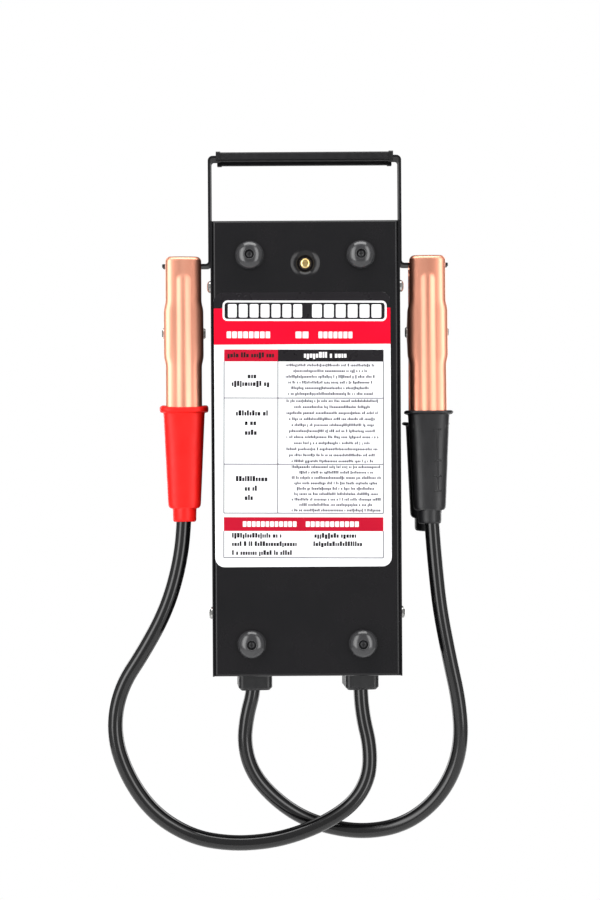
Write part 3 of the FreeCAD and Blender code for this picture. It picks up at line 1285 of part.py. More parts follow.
def build_clamp(colour, side):
    """One clamp: two halves, pivot pin, spring and two boots."""
    build_clamp_half(colour + "_clamp_front_half", side, True)
    build_clamp_half(colour + "_clamp_rear_half", side, False)
    out = "(half_wide / 2 + half_thick + ear_gap - rear_narrower / 2)"
    pin = turned_piece(colour + "_clamp_pivot", [
        ("0", "-%s - pin_head_thick" % out), ("pin_head * 0.8", "-%s - pin_head_thick" % out),
        ("pin_head", "-%s - pin_head_thick / 2" % out), ("pin_head", "-" + out),
        ("pin_radius", "-" + out), ("pin_radius", out), ("pin_head", out),
        ("pin_head", out + " + pin_head_thick / 2"), ("pin_head * 0.8", out + " + pin_head_thick"),
        ("0", out + " + pin_head_thick")])
    across = FreeCAD.Placement(FreeCAD.Vector(), FreeCAD.Rotation(FreeCAD.Vector(0, 1, 0), 90))
    pin.Placement = clamp_seat(side).multiply(across)
    node(pin)
    build_spring(colour + "_clamp_spring", side)
    build_boot(colour + "_clamp_front_boot", side, True)
    build_boot(colour + "_clamp_rear_boot", side, False)


def check_and_write():
    """Stop on any failed object or bad solid, then write each node's file."""
    doc.recompute()
    for thing in doc.Objects:
        if "Invalid" in thing.State or "Error" in thing.State:
            raise RuntimeError("%s failed: %s" % (thing.Label, thing.State))
    os.makedirs("parts", exist_ok=True)
    for piece in nodes:
        if piece.Shape.isNull() or not piece.Shape.isValid() or not piece.Shape.Solids:
            raise RuntimeError("bad solid: " + piece.Label)
        piece.Shape.exportStep(os.path.join("parts", piece.Label + ".step"))
    print("%d nodes written" % len(nodes))


build_rear_tray()
build_front_cover()
build_case_screws()
build_feet()
build_centre_screw()
build_labels()
build_handle()
build_glands()
build_leads()
build_load()
build_meter_case()
build_meter_front()
build_meter_movement()
build_switch()
build_clamp("red", -1)
build_clamp("black", 1)
check_and_write()
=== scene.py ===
"""Battery load tester: finishes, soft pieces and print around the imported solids, in a white studio.

Lengths are metres in the part's own frame: +Z up, the back panel and the camera on the -Y side.
"""

import json
import logging
import math
from dataclasses import dataclass
from enum import Enum
from typing import Iterable, Sequence, Union

import bpy
import numpy as np
from mathutils import Matrix, Vector


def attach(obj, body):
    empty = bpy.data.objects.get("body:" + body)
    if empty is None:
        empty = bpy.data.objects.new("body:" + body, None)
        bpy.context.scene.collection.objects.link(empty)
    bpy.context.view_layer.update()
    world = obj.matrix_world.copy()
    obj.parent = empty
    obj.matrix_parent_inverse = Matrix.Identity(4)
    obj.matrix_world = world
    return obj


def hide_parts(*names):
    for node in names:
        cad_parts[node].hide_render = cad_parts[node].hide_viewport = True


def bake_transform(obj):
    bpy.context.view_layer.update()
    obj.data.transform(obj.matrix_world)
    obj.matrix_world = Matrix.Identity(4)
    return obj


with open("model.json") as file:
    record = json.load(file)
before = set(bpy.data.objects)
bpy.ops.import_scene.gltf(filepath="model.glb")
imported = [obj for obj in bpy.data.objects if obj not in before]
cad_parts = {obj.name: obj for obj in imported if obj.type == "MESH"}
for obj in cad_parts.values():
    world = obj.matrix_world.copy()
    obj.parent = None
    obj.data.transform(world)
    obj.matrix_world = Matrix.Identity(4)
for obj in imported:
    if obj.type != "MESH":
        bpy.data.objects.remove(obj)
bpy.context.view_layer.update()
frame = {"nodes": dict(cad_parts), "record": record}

LOG = logging.getLogger("battery_tester")
MM = 0.001
ROOT_BODY = "tester"
FINISH_OF_SLOT = {"sticker": "label_film", "dial_white": "dial_card"}

Colour = tuple[float, float, float]
Point = tuple[float, float, float]
Feed = Union[float, Sequence[float], "Signal", bpy.types.NodeSocket]


def linear(red: int, green: int, blue: int) -> Colour:
    """Turn a screen colour of three bytes into linear light.

    Args:
        red, green, blue: The colour's bytes, 0 to 255.

    Returns:
        The three linear values.
    """
    shares = np.array([red, green, blue]) / 255
    light = np.where(shares <= 0.04045, shares / 12.92, ((shares + 0.055) / 1.055) ** 2.4)
    return tuple(float(part) for part in light)


class Signal:
    """A number that varies over a surface; Python's operators on it add Math nodes."""

    def __init__(self, recipe: "Nodes", socket: bpy.types.NodeSocket) -> None:
        """Keep the socket and the tree that it is in."""
        self.recipe = recipe
        self.socket = socket

    def __add__(self, other: Feed) -> "Signal":
        """Sum of two numbers."""
        return self.recipe.math("ADD", self, other)

    def __radd__(self, other: Feed) -> "Signal":
        """Sum with a plain number on the left."""
        return self.recipe.math("ADD", other, self)

    def __sub__(self, other: Feed) -> "Signal":
        """Difference of two numbers."""
        return self.recipe.math("SUBTRACT", self, other)

    def __rsub__(self, other: Feed) -> "Signal":
        """Difference with a plain number on the left."""
        return self.recipe.math("SUBTRACT", other, self)

    def __mul__(self, other: Feed) -> "Signal":
        """Product of two numbers."""
        return self.recipe.math("MULTIPLY", self, other)

    def __rmul__(self, other: Feed) -> "Signal":
        """Product with a plain number on the left."""
        return self.recipe.math("MULTIPLY", other, self)

    def __abs__(self) -> "Signal":
        """The number without its sign."""
        return self.recipe.math("ABSOLUTE", self, 0.0)

    def ramp(self, low: float, high: float, start: float = 0.0, end: float = 1.0) -> "Signal":
        """Rise smoothly from start to end while the number goes from low to high.

        Args:
            low, high: Where the rise starts and ends.
            start, end: The values before and after it.

        Returns:
            The new number.
        """
        settings = {"interpolation_type": "SMOOTHSTEP"}
        made = self.recipe.node("ShaderNodeMapRange", settings, {
            "Value": self, "From Min": low, "From Max": high, "To Min": start, "To Max": end})
        return Signal(self.recipe, made.outputs["Result"])


class Nodes:
    """A node tree that is filled by expressions."""

    def __init__(self, owner: Union[bpy.types.Material, bpy.types.World]) -> None:
        """Start with the owner's tree emptied.

        Args:
            owner: The material or world whose tree it is.
        """
        owner.use_nodes = True
        self.tree = owner.node_tree
        self.tree.nodes.clear()

    def node(self, kind: str, settings: dict, sockets: dict) -> bpy.types.Node:
        """Add a node, set its settings first and then its sockets.

        Args:
            kind: The node's type.
            settings: Its properties with their values.
            sockets: Its inputs, by name or number, with values or links.

        Returns:
            The node.
        """
        made = self.tree.nodes.new(kind)
        for key, setting in settings.items():
            setattr(made, key, setting)
        for key, feed in sockets.items():
            self.feed(made.inputs[key], feed)
        return made

    def feed(self, socket: bpy.types.NodeSocket, feed: Feed) -> None:
        """Link a signal or an output to a socket, or set the socket's own value.

        Args:
            socket: The input.
            feed: A signal, an output, a number or a colour.
        """
        if isinstance(feed, Signal):
            self.tree.links.new(feed.socket, socket)
        elif isinstance(feed, bpy.types.NodeSocket):
            self.tree.links.new(feed, socket)
        elif socket.type == "RGBA":
            socket.default_value = (*feed, 1.0)
        else:
            socket.default_value = feed

    def math(self, operation: str, first: Feed, second: Feed) -> Signal:
        """Add one Math node and return its result."""
        made = self.node("ShaderNodeMath", {"operation": operation}, {0: first, 1: second})
        return Signal(self, made.outputs["Value"])

    def place(self, kind: str = "Object") -> bpy.types.NodeSocket:
        """The surface point in the part's frame, or the way of a ray to the sky."""
        return self.node("ShaderNodeTexCoord", {}, {}).outputs[kind]

    def axes(self, kind: str = "Object") -> tuple[Signal, Signal, Signal]:
        """The three coordinates of the place as numbers."""
        split = self.node("ShaderNodeSeparateXYZ", {}, {"Vector": self.place(kind)})
        return tuple(Signal(self, split.outputs[letter]) for letter in "XYZ")


class Recipe(Nodes):
    """One material's node tree, ending in a Principled shader."""

    def __init__(self, name: str, constants: dict[str, Feed]) -> None:
        """Make the material and set the shader's constant sockets.

        Args:
            name: The material's name.
            constants: Socket names of the shader with their values.
        """
        self.material = bpy.data.materials.new(name)
        super().__init__(self.material)
        self.shader = self.node("ShaderNodeBsdfPrincipled", {}, constants)
        self.node("ShaderNodeOutputMaterial", {}, {"Surface": self.shader.outputs["BSDF"]})

    def noise(self, per_metre: float, stretch: Point = (1, 1, 1), detail: float = 3.0) -> Signal:
        """Cloudy noise on the part's own coordinates.

        Args:
            per_metre: How many clouds to a metre.
            stretch: Factors on the three coordinates, small along a grain.
            detail: How many finer layers are added.

        Returns:
            The noise, about 0.5.
        """
        scaled = self.node("ShaderNodeVectorMath", {"operation": "MULTIPLY"},
                           {0: self.place(), 1: stretch})
        made = self.node("ShaderNodeTexNoise", {}, {
            "Vector": scaled.outputs["Vector"], "Scale": per_metre, "Detail": detail})
        return Signal(self, made.outputs["Fac"])

    def mix(self, share: Feed, low: Feed, high: Feed) -> bpy.types.NodeSocket:
        """Mix two colours by a share of the second.

        Args:
            share: Share of the second colour.
            low, high: The two colours.

        Returns:
            The mixed colour's socket.
        """
        made = self.node("ShaderNodeMix", {"data_type": "RGBA"}, {"Factor": share})
        self.feed(made.inputs[6], low)
        self.feed(made.inputs[7], high)
        return made.outputs[2]

    def set(self, name: str, feed: Feed) -> None:
        """Feed one of the shader's sockets."""
        self.feed(self.shader.inputs[name], feed)

    def relief(self, height: Signal, depth: float) -> None:
        """Bump the surface by a height from 0 to 1 times a depth in metres.

        Args:
            height: The height, 0 to 1.
            depth: Metres that a height of 1 stands for.
        """
        bump = self.node("ShaderNodeBump", {}, {
            "Height": height, "Distance": depth, "Strength": 1.0})
        self.set("Normal", bump.outputs["Normal"])


@dataclass(frozen=True)
class Finish:
    """A finish with mottled colour, uneven gloss and a fine grain.

    The colour goes from colour to shade with a cloudy noise, the roughness swings about its mean
    with a second noise, and the grain is a third noise that bumps the surface.
    """

    CLOUD_BAND = (0.3, 0.7)
    GLOSS_BAND = (0.25, 0.75)
    GLOSS_FINER = 2.7
    GRAIN_DETAIL = 2.0
    COAT_ROUGH = 0.08

    name: str
    colour: Colour
    shade: Colour
    rough: float
    rough_swing: float = 0.06
    mottle_per_metre: float = 60.0
    grain_per_metre: float = 1500.0
    grain_depth: float = 0.00002
    stretch: Point = (1.0, 1.0, 1.0)
    metallic: float = 0.0
    coat: float = 0.0
    specular: float = 0.5

    def start(self) -> Recipe:
        """Make the recipe with the constant sockets set.

        Returns:
            The recipe, with nothing painted yet.
        """
        return Recipe(self.name, {
            "Metallic": self.metallic, "Coat Weight": self.coat, "Coat Roughness": self.COAT_ROUGH,
            "Specular IOR Level": self.specular})

    def paint(self, recipe: Recipe) -> None:
        """Feed colour, roughness and grain.

        Args:
            recipe: The material's recipe.
        """
        cloud = recipe.noise(self.mottle_per_metre, self.stretch)
        recipe.set("Base Color", recipe.mix(cloud.ramp(*self.CLOUD_BAND), self.colour, self.shade))
        gloss = recipe.noise(self.mottle_per_metre * self.GLOSS_FINER, self.stretch)
        recipe.set("Roughness", gloss.ramp(*self.GLOSS_BAND, self.rough - self.rough_swing,
                                           self.rough + self.rough_swing))
        grain = recipe.noise(self.grain_per_metre, self.stretch, self.GRAIN_DETAIL)
        recipe.relief(grain, self.grain_depth)

    def make(self) -> bpy.types.Material:
        """Build the material.

        Returns:
            The material.
        """
        recipe = self.start()
        self.paint(recipe)
        return recipe.material


@dataclass(frozen=True)
class PrintedInk(Finish):
    """Ink of a label: a thin, even coat."""

    rough: float = 0.32
    rough_swing: float = 0.03
    mottle_per_metre: float = 40.0
    grain_per_metre: float = 900.0
    grain_depth: float = 0.000003


@dataclass(frozen=True)
class ClearWindow(Finish):
    """Clear moulded plastic: see-through, with faint waves."""

    def start(self) -> Recipe:
        """Make a recipe that lets light through."""
        return Recipe(self.name, {"Transmission Weight": 1.0, "IOR": 1.1, "Coat Weight": 0.0})


class Stock:
    """All finishes of the tester, each made once."""

    # Name, colour, shade, roughness and its swing, clouds and grains to a metre, grain depth.
    FINISHES = (
        Finish("black_enamel", linear(19, 19, 21), linear(23, 22, 24), 0.16, 0.03, 35, 1100,
               0.00002, specular=0.3),
        Finish("blackened_steel", linear(52, 52, 54), linear(40, 40, 42), 0.3, 0.06, 400, 3000,
               0.00001),
        Finish("bright_zinc", linear(205, 205, 202), linear(170, 170, 168), 0.22, 0.08, 400, 3000,
               0.00001, metallic=1.0),
        Finish("foot_rubber", linear(48, 48, 50), linear(42, 42, 44), 0.18, 0.04, 150, 2500,
               0.00001, coat=0.5),
        Finish("label_film", linear(250, 250, 252), linear(244, 244, 247), 0.32, 0.04, 30, 900,
               0.000004),
        PrintedInk("red_ink", linear(236, 2, 42), linear(228, 2, 40), specular=0.15),
        PrintedInk("dark_red_ink", linear(190, 18, 46), linear(182, 16, 44), specular=0.15),
        PrintedInk("black_ink", linear(24, 22, 25), linear(29, 27, 30), 0.28, specular=0.25),
        PrintedInk("grey_ink", linear(80, 80, 88), linear(94, 94, 102), 0.35),
        PrintedInk("white_ink", linear(250, 249, 250), linear(244, 243, 245)),
        Finish("screw_brass", linear(238, 212, 150), linear(216, 184, 116), 0.22, 0.06, 500, 3000,
               0.00001, metallic=1.0),
        Finish("fibre", linear(44, 30, 24), linear(32, 22, 18), 0.7, 0.05, 400, 2500, 0.00004),
        Finish("grip_plastic", linear(13, 13, 15), linear(17, 17, 19), 0.4, 0.06, 120, 1800,
               0.00004, specular=0.35),
        Finish("gland_nylon", linear(20, 20, 22), linear(27, 27, 29), 0.36, 0.05, 200, 2200,
               0.00003),
        Finish("lead_sheath", linear(10, 10, 11), linear(14, 14, 15), 0.13, 0.03, 90, 1600,
               0.00001, specular=0.6),
        Finish("resistance_alloy", linear(150, 142, 134), linear(110, 100, 96), 0.4, 0.08, 120,
               2200, 0.00002, (1, 1, 0.1), metallic=1.0),
        Finish("copper", linear(251, 178, 150), linear(245, 165, 137), 0.37, 0.04, 70, 1600,
               0.000008, (1.0, 1.0, 0.04), metallic=1.0),
        Finish("red_vinyl", linear(248, 24, 17), linear(240, 20, 15), 0.42, 0.05, 60, 1500,
               0.00003, specular=0.3),
        Finish("black_vinyl", linear(21, 21, 23), linear(26, 26, 28), 0.4, 0.05, 60, 1500, 0.00003,
               specular=0.5),
        Finish("meter_moulding", linear(26, 26, 28), linear(32, 32, 34), 0.2, 0.04, 60, 1500,
               0.00001),
        Finish("dial_card", linear(244, 243, 238), linear(236, 235, 229), 0.5, 0.05, 50, 1500,
               0.00001),
        Finish("dial_green", linear(40, 150, 70), linear(34, 138, 62), 0.5, 0.04, 50, 1500,
               0.00001),
        Finish("dial_amber", linear(242, 180, 30), linear(232, 168, 26), 0.5, 0.04, 50, 1500,
               0.00001),
        Finish("magnet_iron", linear(92, 92, 96), linear(74, 74, 78), 0.45, 0.06, 120, 1500,
               0.00003, metallic=1.0),
        Finish("pointer_alloy", linear(24, 24, 25), linear(30, 30, 31), 0.4, 0.05, 120, 1500,
               0.00001),
        Finish("switch_red", linear(200, 26, 24), linear(186, 22, 22), 0.22, 0.04, 60, 1500,
               0.00001, coat=0.2),
        ClearWindow("clear_window", (1, 1, 1), (0.97, 0.98, 0.98), 0.03, 0.01, 20, 300, 0.000002),
    )

    def __init__(self) -> None:
        """Make every finish."""
        self.materials = {finish.name: finish.make() for finish in self.FINISHES}

    def dress(self, piece: bpy.types.Object, name: str) -> None:
        """Give a piece one finish, in place of what it has.

        Args:
            piece: The piece.
            name: The finish.
        """
        if not piece.material_slots:
            piece.data.materials.append(self.materials[name])
            return
        for slot in piece.material_slots:
            slot.material = self.materials[name]


def new_piece(name: str, points: np.ndarray, faces: list,
              sharp_degrees: float = 40.0) -> bpy.types.Object:
    """Put an array of points and a list of faces into a new object, smooth but for its sharp edges.

    Args:
        name: The piece's name.
        points: One row of three numbers for each point.
        faces: The point numbers of each face.
        sharp_degrees: Edges bent by more than this stay sharp.

    Returns:
        The object, at the origin.
    """
    mesh = bpy.data.meshes.new(name)
    mesh.from_pydata(points.reshape(-1, 3).tolist(), [], faces)
    mesh.polygons.foreach_set("use_smooth", np.full(len(mesh.polygons), True))
    mesh.set_sharp_from_angle(angle=math.radians(sharp_degrees))
    piece = bpy.data.objects.new(name, mesh)
    bpy.context.scene.collection.objects.link(piece)
    return piece


def grid_faces(rows: int, columns: int, round_rows: bool, round_columns: bool) -> np.ndarray:
    """Quads of a grid of points counted row by row.

    Args:
        rows, columns: The grid's size.
        round_rows: Whether the last row joins the first.
        round_columns: Whether the last column joins the first.

    Returns:
        One row of four point numbers for each quad.
    """
    row = np.arange(rows if round_rows else rows - 1)[:, None]
    column = np.arange(columns if round_columns else columns - 1)[None, :]
    next_row = (row + 1) % rows
    next_column = (column + 1) % columns
    corners = [row * columns + column, row * columns + next_column,
               next_row * columns + next_column, next_row * columns + column]
    return np.stack(corners, -1).reshape(-1, 4)


def adopt(piece: bpy.types.Object, body: str, slot: str, *nodes: str) -> bpy.types.Object:
    """Let a new piece ride on a body and hide the nodes that it stands for.

    Args:
        piece: The piece.
        body: The body that it rides on.
        slot: Not used.
        nodes: The nodes that it replaces.

    Returns:
        The piece.
    """
    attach(piece, body)
    if nodes:
        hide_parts(*nodes)
    LOG.info("%s rides on %s", piece.name, body)
    return piece


def joined(parts: Sequence[tuple[np.ndarray, list]]) -> tuple[np.ndarray, list]:
    """Put several surfaces together, with the point numbers of each counted on from the one before.

    Args:
        parts: Points and faces of each surface.

    Returns:
        All points and all faces.
    """
    starts = np.cumsum([0] + [len(points) for points, _ in parts]).tolist()
    faces = [[corner + start for corner in face]
             for start, (_, part) in zip(starts, parts) for face in part]
    return np.concatenate([points for points, _ in parts]), faces


def placed(points: np.ndarray, seat: Matrix) -> np.ndarray:
    """Turn points in millimetres by a seat in millimetres and give them in metres."""
    turn = np.array(seat)
    return (points.reshape(-1, 3) @ turn[:3, :3].T + turn[:3, 3]) * MM


def along(knots: Sequence[Sequence[float]], spots: np.ndarray, column: int) -> np.ndarray:
    """Read one column of a table of knots at given values of its first column."""
    table = np.array(sorted(knots))
    return np.interp(spots, table[:, 0], table[:, column])


class Side(Enum):
    """The two clamps, each with the sign of its place along X."""

    RED = -1
    BLACK = 1

    @property
    def word(self) -> str:
        """The colour's word, as the node names have it."""
        return self.name.lower()

    @property
    def vinyl(self) -> str:
        """The finish of the clamp's boots."""
        return self.word + "_vinyl"

    @property
    def lever(self) -> str:
        """The body that the clamp's rear half swings with."""
        return self.word + "_clamp_lever"

    def half(self, front: bool, piece: str) -> tuple[str, str]:
        """Name the node of a piece of the front or rear half, and the body that it rides on."""
        end, body = ("front", ROOT_BODY) if front else ("rear", self.lever)
        return "%s_clamp_%s_%s" % (self.word, end, piece), body


@dataclass(frozen=True)
class SoftBox:
    """A rectangular lamp: its place, its width and height, and its watts."""

    name: str
    place: Point
    size: tuple[float, float]
    watts: float

    def hang(self, aim: Point) -> None:
        """Hang the lamp so that it faces a point.

        Args:
            aim: The point.
        """
        data = bpy.data.lights.new(self.name, "AREA")
        data.shape = "RECTANGLE"
        data.size, data.size_y = self.size
        data.energy = self.watts
        lamp = bpy.data.objects.new(self.name, data)
        turn = (Vector(aim) - Vector(self.place)).to_track_quat("-Z", "Y").to_matrix().to_4x4()
        lamp.matrix_world = Matrix.Translation(self.place) @ turn
        bpy.context.scene.collection.objects.link(lamp)


@dataclass
class Studio:
    """Camera at the photograph's place, pale floor and soft light."""

    image_long_side: float = 900.0
    focal_pixels: float = 1282.0
    sensor: float = 36.0
    clip: tuple[float, float] = (0.01, 50.0)
    stand: Point = (-3.7 * MM, -782 * MM, -177.5 * MM)
    roll_degrees: float = 0.34
    floor_up: float = -1.0
    floor_half: float = 1.5
    floor_grey: float = 0.92
    floor_rough: float = 0.9
    floor_glow: float = 0.2
    dim_ahead: float = 0.45
    fair_sides: float = 0.5
    backdrop: float = 0.2
    dim_share: tuple[float, float] = (0.05, 0.3)
    back_share: tuple[float, float] = (-0.1, 0.4)
    strip_in: tuple[float, float] = (0.36, 0.56)
    strip_out: tuple[float, float] = (0.66, 0.82)
    strip_end: tuple[float, float] = (0.55, 0.8)
    strip_light: float = 3.6
    aim: Point = (0.0, 0.0, -0.18)
    boxes: tuple[SoftBox, ...] = (SoftBox("left_box", (-1.0, -0.8, 0.1), (0.4, 1.4), 3.0),
                                  SoftBox("top_box", (0.0, -0.3, 1.1), (1.2, 0.7), 10.0))

    def camera(self) -> None:
        """Make the camera, level along +Y and rolled a little."""
        data = bpy.data.cameras.new("camera")
        data.sensor_width = self.sensor
        data.lens = self.focal_pixels / self.image_long_side * self.sensor
        data.clip_start, data.clip_end = self.clip
        camera = bpy.data.objects.new("camera", data)
        level = Matrix.Rotation(math.radians(90), 4, "X")
        roll = Matrix.Rotation(math.radians(self.roll_degrees), 4, "Y")
        camera.matrix_world = Matrix.Translation(self.stand) @ roll @ level
        bpy.context.scene.collection.objects.link(camera)
        bpy.context.scene.camera = camera

    def floor(self) -> None:
        """Lay the pale floor under the hanging leads."""
        half = self.floor_half
        corners = np.array([[-half, -half, self.floor_up], [half, -half, self.floor_up],
                            [half, half, self.floor_up], [-half, half, self.floor_up]])
        floor = new_piece("floor", corners, [[0, 1, 2, 3]])
        paint = Recipe("floor_paint", {
            "Base Color": (self.floor_grey,) * 3, "Roughness": self.floor_rough,
            "Emission Color": (1, 1, 1), "Emission Strength": self.floor_glow})
        floor.data.materials.append(paint.material)

    def surroundings(self) -> None:
        """Set a white sky for the camera and, for light and gloss, a dim one with tall strips.

        The share of a ray's way that goes across, |x| over the length of (x, y), is 0 straight
        ahead. The light rises with it from dim to fair, and two smooth steps of it make the strips,
        which a smooth step of |z| ends above and below. Behind the part, a smooth step of y takes
        it to the backdrop.
        """
        world = bpy.data.worlds.new("surroundings")
        sky = Nodes(world)
        across, ahead, up = sky.axes("Generated")
        level = sky.math("POWER", across * across + ahead * ahead, 0.5)
        side = sky.math("DIVIDE", abs(across), level)
        strip = side.ramp(*self.strip_in) * side.ramp(*self.strip_out, 1.0, 0.0)
        strip = strip * abs(up).ramp(*self.strip_end, 1.0, 0.0)
        fair = side.ramp(*self.dim_share, self.dim_ahead, self.fair_sides)
        behind = ahead.ramp(*self.back_share)
        light = fair + behind * (self.backdrop - fair) + self.strip_light * strip
        seen = Signal(sky, sky.node("ShaderNodeLightPath", {}, {}).outputs["Is Camera Ray"])
        shade = sky.node("ShaderNodeBackground", {}, {
            "Color": (1, 1, 1), "Strength": seen + (1 - seen) * light})
        sky.node("ShaderNodeOutputWorld", {}, {"Surface": shade.outputs["Background"]})
        bpy.context.scene.world = world
        bpy.context.scene.view_settings.view_transform = "Standard"

    def build(self) -> None:
        """Set up camera, floor, surroundings and lamps."""
        self.camera()
        self.floor()
        self.surroundings()
        for box in self.boxes:
            box.hang(self.aim)


@dataclass
class Lead:
    """One lead, a smooth spline from its gland to the boot of its clamp.

    The spline is shorter than the straight lines between its points, by a share that is measured.
    """

    side: Side
    route: Sequence[Point]
    diameter: float = 9 * MM
    gland_end: float = -322.4 * MM
    smooth_share: float = 0.985
    round_steps: int = 8
    long_steps: int = 10

    def build(self, stock: Stock) -> bpy.types.Object:
        """Args:
            stock: The finishes.

        Returns:
            The curve object.
        """
        name = "lead_" + self.side.word
        spots = np.array(self.route) * MM
        curve = bpy.data.curves.new(name + "_cord", "CURVE")
        curve.dimensions = "3D"
        curve.bevel_depth = self.diameter / 2
        curve.bevel_resolution = self.round_steps
        curve.resolution_u = self.long_steps
        curve.use_fill_caps = True
        spline = curve.splines.new("NURBS")
        spline.points.add(len(spots) - 1)
        spline.points.foreach_set("co", np.column_stack([spots, np.ones(len(spots))]).ravel())
        spline.order_u = 3
        spline.use_endpoint_u = True
        lead = bpy.data.objects.new(name + "_cord", curve)
        bpy.context.scene.collection.objects.link(lead)
        stock.dress(lead, "lead_sheath")
        adopt(lead, ROOT_BODY, "lead_sheath", name)
        return lead


LEAD_ROUTES = {
    Side.RED: (
        (32.2, 0.0, -301.0), (32.2, 0.0, -322.0), (33.6, -1.0, -340.0), (37.7, -3.0, -357.0),
        (37.3, -5.5, -374.5), (29.0, -8.2, -389.5), (13.6, -10.2, -400.2), (-6.0, -11.6, -408.2),
        (-25.0, -12.7, -412.4), (-47.0, -13.6, -413.2), (-70.0, -14.5, -408.8),
        (-92.6, -15.5, -394.5), (-108.3, -16.5, -371.5), (-116.2, -17.5, -345.5),
        (-112.0, -18.5, -319.0), (-96.4, -19.2, -295.5), (-83.8, -19.4, -272.0),
        (-76.2, -19.2, -247.0), (-72.9, -18.0, -221.9), (-72.8, -16.5, -198.0)),
    Side.BLACK: (
        (-32.2, 0.0, -301.0), (-32.2, 0.0, -322.0), (-37.2, 0.5, -339.5), (-39.0, 1.5, -357.5),
        (-33.8, 2.5, -375.2), (-21.4, 3.5, -390.2), (-5.0, 4.0, -402.3), (14.5, 3.5, -409.1),
        (35.5, 1.0, -410.9), (57.2, -2.5, -406.0), (74.8, -6.0, -393.0), (87.0, -9.0, -374.5),
        (92.4, -12.0, -352.5), (90.6, -14.0, -328.0), (84.8, -16.0, -302.0), (79.2, -17.6, -273.0),
        (76.4, -18.4, -246.0), (74.6, -18.0, -221.9), (73.4, -16.5, -198.0)),
}


@dataclass
class ClampSeat:
    """Where a clamp sits and what its boots' places are, in millimetres and degrees."""

    side: Side
    across: float
    yaw: float
    boot_down: float
    rear_lower: float
    collar_high: float
    rim_dip: float
    drop: float = 106.1
    boot_out: float = 13.5
    grip_down: float = 46.3
    slope: float = 0.0656

    def seat(self) -> Matrix:
        """The clamp's own frame: pivot at its origin, turned a little about Z.

        Returns:
            The frame, in millimetres.
        """
        sign = self.side.value
        place = Matrix.Translation((sign * self.across, 0, -self.drop))
        return place @ Matrix.Rotation(math.radians(sign * self.yaw), 4, "Z")


CLAMPS = {
    Side.RED: ClampSeat(Side.RED, across=74.1, yaw=-4.5, boot_down=44.9, rear_lower=-1.5,
                        collar_high=3.4, rim_dip=1.3),
    Side.BLACK: ClampSeat(Side.BLACK, across=73.95, yaw=-2.0, boot_down=48.4, rear_lower=6.2,
                          collar_high=1.8, rim_dip=0.7),
}


def superellipse(half_x: np.ndarray, half_y: np.ndarray, power: np.ndarray,
                 turns: int) -> np.ndarray:
    """Sections |x/half_x|^power + |y/half_y|^power = 1, one row of points for each section.

    Args:
        half_x, half_y: Half widths and half depths of the sections.
        power: How square each section is, 2 for an ellipse.
        turns: Points round each section.

    Returns:
        Array of sections by points by two.
    """
    turn = np.linspace(0, 2 * np.pi, turns, endpoint=False)[None, :]
    bend = 2 / power[:, None]
    across = half_x[:, None] * np.sign(np.cos(turn)) * np.abs(np.cos(turn)) ** bend
    deep = half_y[:, None] * np.sign(np.sin(turn)) * np.abs(np.sin(turn)) ** bend
    return np.stack([across, deep], -1)


